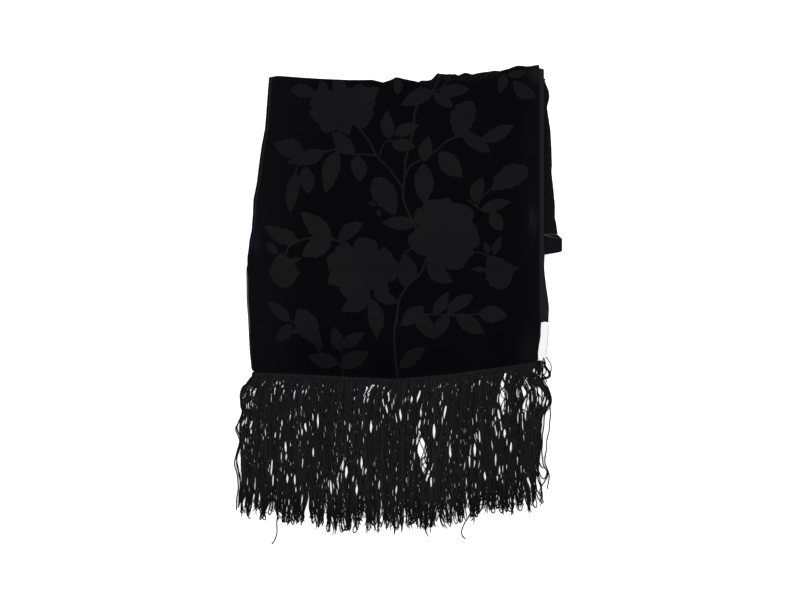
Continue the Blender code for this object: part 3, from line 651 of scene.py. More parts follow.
# Under the velvet the cloth is thinner, so that no crease of the velvet meets it
shown = np.maximum(1 - smooth((x - left_of_front(y) - 1) / 7), smooth((x - right_of_front(y) + 8) / 7))
points, faces = closed_cloth(np.stack([x, y, z], axis=-1), half, shown)
lining = add_piece("back_cloth", points, faces, crepe, "lining", "lining_rim_right", "lining_rim_left")
# Painted highlight along the round of the left rim
add_values(lining, "pale", np.exp(-((points[:, 0] - value_at(LEFT_EDGE, points[:, 1]) - 0.6) / 1.5) ** 2)
           * smooth((points[:, 1] + 38) / 18) * smooth((46 - points[:, 1]) / 12))


# Back stretch: the rest of the scarf's length, lying on the surface with its plain side up. It shows
# beyond the rim on the right, pulled into fine lengthwise streaks.
BACK_RIGHT = (
    (88, 199.6), (100, 198.1), (108.8, 196.2), (125, 196.2), (143.8, 194.4), (166.2, 191.9), (175, 192.5),
    (197.5, 191.8), (218.8, 190.6), (226.2, 189.4), (238.8, 187.5), (247.5, 186.2), (253.8, 188.1),
    (260, 189.4), (266.2, 188.8), (275, 185.6), (278.8, 183.4), (282.5, 184.4), (286.2, 183.1),
)
BACK_LOW = 88.45
BACK_WIDTH = 368
BACK_LENGTH = 195
BACK_ROUND = 0.7
# Square at its lower end, where it runs on into the cuff
BACK_SQUARE = 9
# Lengthwise ridges on the part that shows: distance inside the right edge, half width, height
BACK_RIDGES = ((2, 0.9, 0.35), (5.2, 1.2, 0.5), (9, 1.1, 0.4), (12.5, 1.4, 0.45), (16, 1.2, 0.3))


def back_top(x):
    """y where it meets the velvet that comes back under the fold."""
    return fold_start(x) - UNDER_FOLD - SEAM_GAP


u, t, share = cloth_grid(BACK_WIDTH, 110, BACK_LENGTH, 80, BACK_ROUND, BACK_SQUARE)
x, y = fill_between(u, t, BACK_LOW + 190 * t, lambda y: value_at(LEFT_EDGE, y) + 5,
                    lambda y: value_at(BACK_RIGHT, y), lambda x: BACK_LOW, back_top)
inside = value_at(BACK_RIGHT, y) - x
z = CLOTH / 2 + 0 * x
for at, half_width, height in BACK_RIDGES:
    away = (inside - at - 0.8 * np.sin(y / 17 + at)) / half_width
    z = z + height * np.exp(-away ** 2) * smooth(inside / 2)
level = smooth((back_top(x) - y + 4) / 8)
z = z * level + CLOTH / 2 * (1 - level)
points, faces = closed_cloth(np.stack([x, y, z], axis=-1), CLOTH / 2 * share)
points[:, 2] = np.maximum(points[:, 2], 0)
back = add_piece("back_stretch_cloth", points, faces, crepe, "lining", "back_stretch")
# Painted shade: the back stretch is darkened all over
add_values(back, "deep", np.ones(len(points)))


# Cuff: the lower end of the back stretch, turned up over itself so that its velvet side faces up.
# Its upper edge shows the raw edge of the plain cloth as a paler line.
# x, y of its fold, y of its upper edge, y where its under part meets the back stretch
CUFF = (
    (-176, 62.5, 87.6, 88.42), (-90, 62, 87.2, 88.42), (0, 62.4, 87.6, 88.42), (90, 62, 87.2, 88.42),
    (160, 62.4, 87.4, 88.42), (183, 62.5, 87.6, 88.42), (196, 64.6, 85.2, 88.42), (199.4, 65.2, 84.7, 88.3),
    (203.2, 66, 84.2, 84.5), (205, 67.4, 83.2, 82.9),
)
CUFF_LEFT = -176
CUFF_WIDTH = 381
CUFF_LEG = 24
CUFF_MID_RADIUS = 1.1
CUFF_LOW = 0.9

# The same velvet with the pile lying the other way: as dark, with a plum sheen painted into its colour
plum_sheen_velvet, tree, shader, place = start_finish("black_velvet_painted_plum_sheen", {
    "Roughness": 0.8, "IOR": 1.5, "Specular IOR Level": 0.02, "Sheen Weight": 0.01, "Sheen Roughness": 0.35,
    "Sheen Tint": linear("#b5a9c9"),
})
nap = add_node(tree, "TexNoise", {"Scale": 60, "Detail": 3}, {"Vector": place})
tone = add_node(tree, "Mix", {"data_type": "RGBA", 6: linear("#08080a"), 7: linear("#0e0d12")},
                {0: nap.outputs["Fac"]})
pale = add_node(tree, "Attribute", {"attribute_name": "pale"}).outputs["Fac"]
edged = add_node(tree, "Mix", {"data_type": "RGBA", 7: linear("#3a3a3c")}, {0: pale, 6: tone.outputs[2]})
tree.links.new(edged.outputs[2], shader.inputs["Base Color"])
tufts = add_node(tree, "TexNoise", {"Scale": 720, "Detail": 1}, {"Vector": place})
bump = add_node(tree, "Bump", {"Strength": 0.35, "Distance": 0.0004}, {"Height": tufts.outputs["Fac"]})
tree.links.new(bump.outputs[0], shader.inputs["Normal"])

width_steps = edge_steps(CUFF_WIDTH, 140, BACK_ROUND)
cuff_x = CUFF_LEFT + width_steps
arc_length = math.pi * CUFF_MID_RADIUS
section = edge_steps(2 * CUFF_LEG + arc_length, 60, BACK_ROUND)
fold_y = value_at(CUFF, cuff_x) + CLOTH / 2 + CUFF_MID_RADIUS
open_y = value_at(CUFF, cuff_x, 2)
seam_y = value_at(CUFF, cuff_x, 3)
ripple = 0.35 * np.sin(cuff_x / 19) * np.exp(-((cuff_x - 190) / 60) ** 2)
rows = []
for s in section:
    if s < CUFF_LEG:
        y = seam_y + (fold_y - seam_y) * s / CUFF_LEG
        z = CUFF_LOW + 0 * cuff_x
    elif s > CUFF_LEG + arc_length:
        share = (s - CUFF_LEG - arc_length) / CUFF_LEG
        y = fold_y + (open_y - fold_y) * share
        z = CUFF_LOW + 2 * CUFF_MID_RADIUS + ripple * share
    else:
        angle = (s - CUFF_LEG) / CUFF_MID_RADIUS
        y = fold_y - CUFF_MID_RADIUS * math.sin(angle)
        z = CUFF_LOW + CUFF_MID_RADIUS * (1 - math.cos(angle)) + 0 * cuff_x
    rows.append(np.stack([cuff_x, y, z], axis=-1))
middle = np.array(rows)
half = CLOTH / 2 * np.outer(np.where(section < CUFF_LEG, 1, roundness(section, BACK_ROUND)),
                            roundness(width_steps, BACK_ROUND))
points, faces = closed_cloth(middle, half)
cuff = add_piece("turned_cuff_cloth", points, faces, plum_sheen_velvet, "cuff_velvet", "turned_cuff")
edge = value_at(CUFF, points[:, 0], 2) - points[:, 1]
frayed = (0.4 + 0.6 * smooth((198 - points[:, 0]) / 8)) * np.exp(-(edge / 1.2) ** 2)
add_values(cuff, "pale", np.where(points[:, 2] > 2, frayed, 0))


# Inner layers: the folded length between front and back, four thicknesses of the same doubled cloth.
# Only their edges can be seen, low down at the sides.
LAYER = 1.35
INNER_LOW = 96
INNER_RIGHT = 172.4
INNER_WIDTH = 344
INNER_LENGTH = 184
INNER_CORNER = 14
INNER_ROUND = 0.6
# How far they stay below the top fold, how far each lies above the last, and the share of its height filled
INNER_BELOW = 10.5
INNER_STEP = 0.4
LAYER_FILL = 0.94
# How far each layer stays in on the left and on the right, from the lowest up
INNER_SHIFTS = ((0.2, 0.6), (0.9, 0.2), (0.5, 1.2), (1.4, 0.6))


def inner_corner(y):
    """How far the right side stays in at its rounded lower corner."""
    below = 1 - np.clip((y - INNER_LOW) / INNER_CORNER, 0, 1)
    return 0.25 * INNER_CORNER * (1 - np.sqrt(1 - below ** 2))


u, t, share = cloth_grid(INNER_WIDTH, 60, INNER_LENGTH, 50, INNER_ROUND)
inner_points, inner_faces = [], []
for layer, (left_in, right_in) in enumerate(INNER_SHIFTS):
    x, y = fill_between(
        u, t, INNER_LOW + INNER_LENGTH * t,
        lambda y: value_at(LEFT_EDGE, y) + 5 + left_in + 0.5 * np.sin(y / 23 + layer),
        lambda y: INNER_RIGHT - right_in - inner_corner(y),
        lambda x: INNER_LOW + INNER_STEP * layer,
        lambda x: value_at(TOP_FOLD, x) - INNER_BELOW + INNER_STEP * layer)
    z = CLOTH + SEAM_GAP + (layer + 0.5) * LAYER + 0 * x
    points, faces = closed_cloth(np.stack([x, y, z], axis=-1), 0.5 * LAYER * LAYER_FILL * share)
    inner_faces.append(faces + sum(len(p) for p in inner_points))
    inner_points.append(points)
inner = add_piece("inner_layers_cloth", np.vstack(inner_points), np.vstack(inner_faces), crepe, "lining",
                  "inner_layers")


# Heading: the flat woven band between hem and fringe, from whose warp the yarns hang.
HEADING = 9
HEADING_LEFT = -181.4
HEADING_WIDTH = 358
HEADING_TOP = 1.55
SIDE_ROUND = 0.5
END_ROUND = 0.6
RIB_PITCH = 2.6

# Spun viscose, loosely woven: dull, hairy yarns about as dark as the lining
yarn_finish, tree, shader, place = start_finish("spun_viscose_yarn", {
    "Roughness": 0.8, "IOR": 1.53, "Specular IOR Level": 0.02, "Sheen Weight": 0.006, "Sheen Roughness": 0.5,
})
strand = add_node(tree, "Attribute", {"attribute_name": "tone"}).outputs["Fac"]
# Twist of the yarn, drawn as slubs 1 mm across and 4 mm along
slub_place = add_node(tree, "Mapping", {"Scale": (900, 260, 900)}, {"Vector": place})
slubs = add_node(tree, "TexNoise", {"Scale": 1, "Detail": 2}, {"Vector": slub_place.outputs[0]})
slub_lift = add_node(tree, "MapRange", {"From Min": 0.3, "From Max": 0.7, "To Min": -0.3, "To Max": 0.3},
                     {"Value": slubs.outputs["Fac"]})
shade = add_node(tree, "Math", {"operation": "ADD", "use_clamp": True},
                 {0: strand, 1: slub_lift.outputs[0]})
tone = add_node(tree, "Mix", {"data_type": "RGBA", 6: linear("#080809"), 7: linear("#1d1d1e")},
                {0: shade.outputs[0]})
tree.links.new(tone.outputs[2], shader.inputs["Base Color"])
bump = add_node(tree, "Bump", {"Strength": 0.5, "Distance": 0.0004}, {"Height": slubs.outputs["Fac"]})
tree.links.new(bump.outputs[0], shader.inputs["Normal"])

across_steps = edge_steps(HEADING_WIDTH, 430, SIDE_ROUND)
down_steps = edge_steps(HEADING + END_ROUND, 12, END_ROUND)
u, d = np.meshgrid(across_steps / HEADING_WIDTH, down_steps[::-1])
x = HEADING_LEFT + HEADING_WIDTH * u
y = value_at(HEM, x) + END_ROUND - d
ribs = 0.12 * np.sin(2 * math.pi * x / RIB_PITCH) * smooth(d / 3)
z = HEADING_TOP / 2 + 0 * x
share = np.outer(roundness(down_steps, END_ROUND), roundness(across_steps, SIDE_ROUND))
points, faces = closed_cloth(np.stack([x, y, z], axis=-1), (HEADING_TOP / 2 + ribs) * share)
points[:, 2] = np.maximum(points[:, 2], 0)
heading = add_piece("fringe_heading", points, faces, yarn_finish, "yarn", "fringe")
add_values(heading, "tone", 0.44 + 0.2 * np.sin(points[:, 0] * 2.4) * np.sin(points[:, 1] * 2))


# Fringe: some nine hundred crinkled yarns that hang from the heading in three rows, one over the other.
# They bunch, part in slits and end in loose tufts and loops, and a few lie apart from the rest.
ROW_YARNS = 310
YARN_STEPS = 62
YARN_RADIUS = 0.78
ROW_HEIGHTS = (0.9, 1.6, 2.4)
ROW_WIDTHS = (1.22, 1.06, 1)
ROW_CRINKLES = (0.3, 0.6, 0.9)
SPREAD_START = 4.5
# Left end and width of the row of yarns, at the hem and where their ends would hang without a lean
ROOTS = (-181, 362.5)
HOMES = (-196, 376)
# Sides of the mass of yarns, as distance under the hem, x on the left, x on the right, and how far the
# outermost yarns bulge past them on the left and on the right
SIDES = (
    (4.5, -182, 176.5, 0, 0), (12, -186.5, 180.5, 0, 0), (22, -190, 180.5, 4.4, 0), (26, -191, 180, 5, 0.7),
    (31, -192, 179.6, 5, 4.5), (36.4, -192.8, 179.5, 4.6, 8.3), (44, -193.3, 179.5, 3.6, 11.2),
    (49, -193.5, 179.5, 1.6, 11.8), (57, -193.5, 179.5, 0.8, 9.9), (63, -193.5, 179.5, 4, 5),
    (70, -193.5, 179.5, 5.2, 1.6), (87, -193.5, 179.3, 3.4, 0), (112, -193.5, 178.8, 3, 0),
    (132, -193.5, 178, 2, -2.2), (150, -193.5, 178, 2.6, -2), (170, -193.5, 179, 3.6, 3),
    (190, -193.5, 180, 4, 4), (215, -193.5, 180, 4, 4),
)
# Lower ends of the yarns: x, y
YARN_ENDS = (
    (-205, -257), (-190, -266), (-176, -270), (-160, -267), (-141, -272), (-122, -279), (-105, -277),
    (-88, -284), (-50, -284), (2, -282), (52, -280), (65, -277), (90, -269), (115, -262.5), (152, -258.5),
    (171, -254), (190, -245),
)
# Yarn bunches: waves over the width, sway in mm, length of one sway down the fringe, phase
BUNCHES = (
    ((23, 0.8, 130, 0.4), (7, 1.5, 210, 1.9), (2, 2.2, 260, 0.2), (47, 0.3, 80, 1.1)),
    ((19, 0.8, 105, 2.6), (9, 1.2, 170, 0.7), (2, 1.8, 300, 2), (53, 0.3, 90, 0.3)),
    ((27, 0.7, 145, 1.3), (6, 1.6, 190, 0.2), (3, 1.6, 240, 1), (41, 0.3, 70, 2.3)),
)
# Gaps where the yarns part: x, y, half opening, half length, lean per mm upwards
GAPS = (
    (130.6, -103, 2.4, 10, 0), (130.6, -115.5, 4.2, 11, 0.05), (157.5, -108, 3, 7, -0.35),
    (132, -127.5, 2.4, 9, 0.12), (133.5, -89, 1, 5.5, 0.4), (161.5, -117, 1.2, 7, 0.3),
    (158, -121, 1.8, 9, 0.35), (149.6, -110, 1.5, 7.5, 0), (152.4, -111, 0.8, 7, 0),
    (151.5, -131, 1.3, 4.5, 0.1), (156.3, -130, 1.2, 4.5, -0.1), (159.3, -136, 0.8, 7, 0.1),
    (150.2, -141, 1.2, 7, 0), (176.7, -108, 1.8, 3.8, -0.1), (181.5, -110.7, 1.5, 3.4, -0.1),
    (178.9, -118.4, 1.4, 5.5, 0.25), (182.5, -121.5, 1.4, 5.5, 0.3), (186.6, -122.2, 1.3, 5, 0.2),
    (174.8, -117.7, 1, 3.6, 0.1), (159.1, -94.1, 1.4, 3.6, -0.8), (181, -144, 0.8, 7, 0.1),
    (170.2, -80.5, 0.8, 3.4, 0.6), (174, -85, 1.1, 3, 0.2), (178.4, -87.6, 0.8, 3, 0),
    (29.6, -180, 5.4, 14, -0.06), (32.6, -201, 3, 10, 0), (25.4, -166, 1.8, 9, 0.3),
    (35.2, -190, 1.1, 7, 0.05), (37.2, -214.6, 1.2, 6, 0.45), (41.2, -221.5, 1.2, 7, 0),
    (25.6, -114.3, 1.5, 8, 0.35), (17.3, -119, 0.9, 4, 0.15), (28.8, -133, 1.2, 8, 0),
    (26.8, -149, 1.2, 6, 0.25), (3, -137.4, 1.3, 7, -0.15), (58.8, -133.3, 1.3, 8, 0.25),
    (45, -157.7, 1.6, 10, 0), (65.6, -182, 1.5, 9, 0), (95.8, -181, 1.4, 9, 0), (89.4, -193.5, 0.9, 10, 0),
    (98.5, -163.5, 0.9, 5, -0.2), (102.2, -166.5, 0.9, 5, -0.2), (121.2, -140, 1, 6, -0.15),
    (126, -137, 1.1, 7, -0.3), (119.4, -151, 1.3, 7, -0.25), (133, -160.2, 1.3, 5.5, 0),
    (141, -178, 1.1, 7, 0.1), (122, -193.5, 0.9, 9, 0), (108.6, -214, 1.2, 5, -0.2), (127, -207, 1, 7, 0),
    (124, -217, 1.2, 4, 0.2), (130, -222, 1.2, 5, 0.2), (97, -226, 0.8, 4, 0), (159.5, -211, 0.9, 4, -0.3),
    (163, -221, 1.4, 6, -0.45), (150.7, -231, 1.8, 8, -0.3), (142, -236, 1.3, 6, -0.1),
    (-179.3, -109, 1.7, 5, 0.35), (-183.5, -122.4, 0.8, 3.5, 0.3), (-177.2, -126.6, 0.7, 3, -0.3),
    (-194, -137, 1.2, 4, 0), (-193, -147, 1, 5, 0.5), (-183.5, -149, 1, 5, 0.4),
    (-183.5, -158.7, 1.1, 3, 0.1), (-190, -169, 0.7, 3, 0), (-151.4, -97.4, 0.8, 3.2, 0.3),
    (-144.4, -100.8, 0.9, 2.6, 0), (-118.6, -107.8, 0.9, 3, 0.2), (-34, -105, 1.2, 8, 0.75),
    (-25.3, -98.7, 1.3, 5, 0.2), (-18.4, -97, 0.7, 3.5, 0.2), (-37.7, -118.2, 1, 3, 0.4),
    (-14.2, -130, 1.1, 5, -0.35), (-33.5, -150.3, 1.6, 9, 0.1), (-106.7, -140.6, 1.3, 5.5, 0),
    (-128.4, -138, 1, 5, 0.3), (-100, -144.8, 0.8, 11, 0), (-115.8, -153, 1.1, 6, -0.2),
    (-120, -159, 1, 5, 0), (-145.1, -147.5, 0.8, 5, 0), (-153.5, -162.9, 0.9, 4.5, 0.1),
    (-140.2, -178.3, 1.2, 8, -0.05), (-139.6, -190, 1, 5, 0.1), (-106, -183.8, 1.1, 7, 0),
    (-157.7, -203.3, 1.6, 9, 0.15), (-155.6, -221, 1.2, 8, 0), (-138.2, -217.3, 1.3, 5, 0.1),
    (-129, -218.7, 1.1, 7, 0), (-127.6, -231, 0.9, 4, 0), (-68.4, -198, 1.4, 8, 0.4),
    (-65.2, -208.9, 2.2, 9, 0.1), (-45.4, -198, 1.1, 8, 0), (-40.5, -207.5, 1, 5, 0.15),
    (-83.8, -227, 1.4, 10, -0.1), (-75, -224, 0.8, 7, -0.15), (-51.6, -230, 1.3, 8, 0),
    (-23, -225.6, 1.4, 8, 0), (-2.1, -231, 1, 6, 0.1), (-56, -217, 0.8, 5, 0.1),
)
# Each gap has a thinner slit beside it, and more of them are scattered over the fringe and under the hem
SCATTERED = 150
UNDER_HEM = 80
# Length of a yarn's tail, share of the yarns that reach their tuft's tip, pitch of tufts and of their groups
TAIL = 36
LONG_SHARE = 0.22
TUFT_PITCH = (3, 6.8)
GROUP_PITCH = (12, 28)

chance = np.random.default_rng(11)
slits = list(GAPS)
for gap_x, gap_y, opening, half_length, lean in GAPS:
    slits.append((gap_x + chance.choice((-1, 1)) * (opening + chance.uniform(1.6, 5.5)),
                  gap_y + chance.normal(0, half_length), chance.uniform(0.1, 0.65),
                  chance.uniform(3, 7), lean + chance.normal(0, 0.1)))
# The scattered ones lie closer together towards the left
for _ in range(SCATTERED):
    slit_x = -190 + 366 * chance.random() ** 1.25
    slits.append((slit_x, value_at(HEM, slit_x) - chance.uniform(22, 175), chance.uniform(0.05, 0.55),
                  chance.uniform(2.5, 7), chance.normal(0, 0.12)))
for _ in range(UNDER_HEM):
    slit_x = chance.uniform(-170, 172)
    slits.append((slit_x, value_at(HEM, slit_x) - chance.uniform(10.5, 22), chance.uniform(0.05, 0.45),
                  chance.uniform(1.5, 3.2), chance.normal(0.15, 0.2)))
tufts_x = [-199]
while tufts_x[-1] < 184:
    tufts_x.append(tufts_x[-1] + chance.uniform(*TUFT_PITCH))
tufts_x = np.array(tufts_x)
# Tufts lean together in groups, whose middle hangs lowest
groups_x = [-194]
while groups_x[-1] < 184:
    groups_x.append(groups_x[-1] + chance.uniform(*GROUP_PITCH))
groups_x = np.array(groups_x)
from_group = tufts_x - groups_x[np.abs(tufts_x[:, None] - groups_x[None, :]).argmin(axis=1)]
tufts_end = tufts_x - 0.18 * from_group
tufts_y = chance.normal(0, 2.8, len(tufts_x)) + 0.028 * from_group ** 2 - 1
tufts_lean = chance.normal(0, 1.8, len(tufts_x))
tufts_turn = chance.uniform(24, 48, len(tufts_x))


def yarn_tubes(paths, radii):
    """Points and faces of closed four-sided tubes along paths, given as yarns by steps by x, y, z."""
    run = np.gradient(paths, axis=1)
    run /= np.linalg.norm(run, axis=-1, keepdims=True) + 1e-9
    flank = np.cross(run, (0, 0, 1))
    flank /= np.linalg.norm(flank, axis=-1, keepdims=True) + 1e-9
    rise = np.cross(flank, run)
    rings = [paths + (flank * math.cos(a) + rise * 0.85 * math.sin(a)) * radii[..., None]
             for a in (np.arange(4) + 0.5) * math.pi / 2]
    points = np.stack(rings, axis=2)
    index = np.arange(radii.size * 4).reshape(*radii.shape, 4)
    after = np.roll(index, -1, axis=2)
    faces = np.stack([index[:, :-1], after[:, :-1], after[:, 1:], index[:, 1:]], axis=-1).reshape(-1, 4)
    return points.reshape(-1, 3), np.vstack([faces, index[:, 0, ::-1], index[:, -1]])


def part_yarns(x, y, held):
    """Moves yarns aside at each slit, to the side they pass it on; held yarns cross it."""
    yarns = np.arange(len(x))
    for slit_x, slit_y, opening, half_length, lean in slits:
        middle = x[yarns, np.abs(y - slit_y).argmin(axis=1)]
        near = np.abs(middle - slit_x) < 14
        part_x, part_y = x[near], y[near]
        level = np.clip(1 - ((part_y - slit_y) / (1.2 * half_length)) ** 2, 0, 1)
        line = slit_x + lean * (part_y - slit_y)
        side = np.where(middle[near] >= slit_x, 1, -1)[:, None]
        away = side * (part_x - line)
        moved = line + side * np.hypot(np.maximum(away, 0), (opening + 0.7 * YARN_RADIUS) * level)
        fade = np.exp(-(np.maximum(away, 0) / 7) ** 2) * smooth(3 * level) * held[near]
        x[near] = part_x + (moved - part_x) * fade
    return x


def add_row(name, row, seed):
    """One row of hanging yarns as a joined mesh."""
    chance = np.random.default_rng(seed)
    places = np.arange(ROW_YARNS) + 0.5 + chance.uniform(-0.3, 0.3, ROW_YARNS) * ROW_CRINKLES[row]
    places = places / ROW_YARNS
    share = np.linspace(0, 1, YARN_STEPS)[None, :]
    place = places[:, None]
    hem_y = value_at(HEM, ROOTS[0] + ROOTS[1] * places)
    home_x = HOMES[0] + HOMES[1] * places
    near = np.abs(home_x[:, None] - tufts_x[None, :]).argmin(axis=1)
    tuft_x = tufts_x[near]
    # About one yarn in five reaches the tip of its tuft, the others end higher and leave it loose
    higher = np.where(chance.random(ROW_YARNS) < LONG_SHARE, chance.uniform(-2.5, 5, ROW_YARNS),
                      chance.uniform(5, 20, ROW_YARNS))
    end_y = value_at(YARN_ENDS, home_x) + tufts_y[near] + 5 * (np.abs(home_x - tuft_x) / 5.5) ** 2 + higher
    depth = SPREAD_START + chance.uniform(-1, 1.2, (ROW_YARNS, 1)) * (1 - share) + (
        hem_y - SPREAD_START - end_y)[:, None] * share
    y = hem_y[:, None] - depth
    left, right = value_at(SIDES, depth), value_at(SIDES, depth, 2)
    x = left + (right - left) * place
    x = x - value_at(SIDES, depth, 3) * (1 - smooth(place / 0.05))
    x = x + value_at(SIDES, depth, 4) * smooth((place - 0.93) / 0.07)
    free = smooth((depth - SPREAD_START) / 20)
    inside = smooth(place / 0.03) * smooth((1 - place) / 0.03)
    for waves, reach, length, phase in BUNCHES[row]:
        x = x + reach * np.sin(2 * math.pi * (waves * place + depth / length) + phase) * free * inside
    wave = chance.uniform(19, 28, (ROW_YARNS, 1))
    phase = 5 * np.sin(places * 37)[:, None] + chance.uniform(0, 2.4, (ROW_YARNS, 1))
    crinkle = chance.uniform(0.3, 0.85, (ROW_YARNS, 1)) * np.sin(2 * math.pi * depth / wave + phase)
    crinkle = crinkle + 0.2 * np.sin(2 * math.pi * depth / (wave * 0.41) + 2 * phase)
    x = x + crinkle * free * ROW_CRINKLES[row]
    x = part_yarns(x, y, (chance.random(ROW_YARNS) > 0.03)[:, None])
    # Tails: drawn into their tuft, which has a lean and a curve of its own, with a hook at the very end
    from_end = depth[:, -1:] - depth
    tail = smooth(1 - from_end / TAIL)
    lean = (tufts_lean + chance.normal(0, 1, len(tufts_x)))[near][:, None]
    x = x + (tufts_end[near][:, None] - x) * 0.8 * tail + lean * tail ** 2
    x = x + chance.normal(0, 0.9, (ROW_YARNS, 1)) * tail ** 2
    curl = 2 * math.pi * from_end / tufts_turn[near][:, None] + tuft_x[:, None]
    x = x + (1.1 * np.sin(curl) + chance.uniform(0, 0.5, (ROW_YARNS, 1)) * np.sin(1.7 * curl)) * tail
    hook = chance.normal(0, 2.4, (ROW_YARNS, 1))
    bent = smooth(1 - from_end / 7) ** 2
    x = x + hook * bent
    y = y + 0.5 * np.abs(hook) * bent
    start = HEADING_TOP + 0.1 if row == 2 else 0.9
    height = ROW_HEIGHTS[row]
    z = start + (height - start) * smooth((depth - HEADING - 1) / 14)
    z = z + (0.25 * np.sin(depth / 6 + phase) + chance.uniform(-0.2, 0.3, (ROW_YARNS, 1))) * free
    z = np.maximum(z - (height - 0.8) * 0.6 * tail, YARN_RADIUS)
    width = 1 + (ROW_WIDTHS[row] - 1) * (1 - tail)
    radius = YARN_RADIUS * width * chance.uniform(0.85, 1.12, (ROW_YARNS, 1))
    radius = radius * (1 + 0.1 * np.sin(depth / 2.3 + phase)) * (1 - 0.6 * smooth(1 - from_end / 2.5))
    points, faces = yarn_tubes(np.stack([x, y, z], axis=-1), radius)
    piece = add_piece(name, points, faces, yarn_finish, "yarn", "fringe")
    tone = np.clip(chance.normal(0.5, 0.16, (ROW_YARNS, 1)) * (1 - 0.8 * tail), 0, 1)
    add_values(piece, "tone", np.repeat(tone.ravel(), 4))
    return piece


rows = [add_row(f"fringe_row_{row}", row, 21 + row) for row in range(3)]

# Loose yarns: radius, then x, y along each
LOOSE = (
    (1.15, ((-181, -84), (-185, -95.6), (-194, -102.5), (-197.1, -113.8), (-193.8, -138), (-202.6, -153.3),
            (-197.9, -171.3), (-204, -195.6), (-199.6, -220), (-201.2, -242.5), (-202, -256))),
    (1.15, ((-183, -90), (-192, -102), (-195.6, -114), (-193.5, -130), (-199.5, -147), (-200.8, -156),
            (-196, -170), (-201, -190), (-200.3, -202), (-197, -222), (-198.5, -240), (-199, -253))),
    (1.05, ((-196, -160), (-198.8, -180), (-201.8, -196), (-197.5, -214), (-196.4, -236), (-198, -250))),
    (1.15, ((181.5, -66), (184.2, -75.6), (187.2, -80), (189.6, -84), (189.8, -89.3), (185.2, -92),
            (181, -91.5))),
    (1.05, ((181, -70), (183.4, -77), (187.8, -83), (188.7, -88), (184.8, -90.4), (181, -87.5))),
    (0.95, ((185.3, -64.5), (189, -70.5), (190.8, -75.2), (191.1, -80), (190.4, -85), (189.4, -90),
            (184.4, -91.8), (181.5, -90))),
    (0.9, ((181.2, -90), (183.6, -97), (187.6, -104), (190.6, -111), (191.6, -118), (190, -127),
           (185.4, -133), (182, -140))),
    (0.9, ((180, -92), (182, -99), (184.6, -106), (187.4, -112), (188.8, -118), (188, -126), (184, -132),
           (181, -138))),
    (1.1, ((190.6, -116), (190.2, -128), (190, -143), (188.8, -155), (186.3, -168), (185.2, -180),
           (183.4, -197), (185.2, -202), (189, -212), (187.4, -222), (186.6, -230))),
    (0.9, ((177, -69.5), (176, -75), (172.5, -82), (168, -90), (165, -98))),
    (0.9, ((178, -69.5), (177.5, -77), (175, -84), (170, -92), (168, -99))),
    (0.9, ((179, -69.5), (179.5, -78), (177.5, -86), (174, -95), (173, -102))),
    (0.9, ((180.5, -69), (181, -78), (180.3, -88), (181.5, -97), (184, -106))),
    (0.85, ((182.2, -69), (184.6, -72), (183, -76), (178.6, -80), (175, -86), (177, -92), (181, -96))),
    (0.85, ((176, -70), (179, -75), (183.6, -79), (184.8, -84), (181.2, -88), (177, -86), (173.4, -88))),
    (0.85, ((175, -72), (173, -78), (175.6, -83), (180.5, -85), (183.2, -90), (186, -97))),
    (1.1, ((184.4, -131), (183, -140), (181.3, -157), (179.9, -176), (180.8, -197), (184.2, -204),
           (186.9, -211), (184, -219), (180, -226))),
    (1, ((176, -196), (180, -203), (184, -204), (185.6, -210), (183, -217), (178.5, -214), (176, -208))),
    (1.15, ((-150, -250), (-151, -267), (-151.5, -285), (-154, -294), (-158, -299))),
    (1.15, ((94, -246), (88.5, -264), (83, -273), (79.5, -281), (80.5, -288), (84.4, -292))),
    (0.85, ((26, -160), (28, -172), (33.5, -186), (37, -197), (33, -208), (31, -216))),
    (0.85, ((36, -166), (33, -180), (29.5, -192), (33, -204), (38.4, -212))),
    (0.78, ((127, -98), (130, -106), (134.6, -112), (135, -120), (131, -134))),
    (0.78, ((126.5, -104), (129.6, -114), (135.4, -120), (136, -130))),
    (0.78, ((150, -94), (157, -102), (161, -112), (157, -120), (155, -128))),
    (0.78, ((162, -100), (160, -114), (155.6, -124), (156, -134))),
    (0.78, ((-36, -98), (-31, -104), (-39, -113), (-42, -122))),
    (0.78, ((-70, -188), (-65, -200), (-69, -210), (-64, -220))),
    (0.78, ((-183, -104), (-177, -108), (-182.5, -114), (-185, -122))),
)


def line_lengths(line):
    """Length along a line up to each of its points."""
    return np.concatenate([[0], np.cumsum(np.hypot(*np.diff(line, axis=0).T))])


chance = np.random.default_rng(31)
lines = []
for _, points in LOOSE:
    line = stem_points(points)
    length = line_lengths(line)
    places =np.linspace(0, length[-1], YARN_STEPS)
    x = np.interp(places, length, line[:, 0]) + 0.3 * np.sin(places / 3.4 + chance.uniform(0, 6))
    y = np.interp(places, length, line[:, 1])
    lines.append(np.stack([x, y, 2.2 + 0.5 * np.sin(places / 9 + chance.uniform(0, 6))], axis=-1))
radii = np.array([[row[0]] for row in LOOSE]) * np.ones((1, YARN_STEPS))
points, faces = yarn_tubes(np.array(lines), radii)
loose = add_piece("fringe_loose_yarns", points, faces, yarn_finish, "yarn", "fringe")
add_values(loose, "tone", np.full(len(points), 0.1))

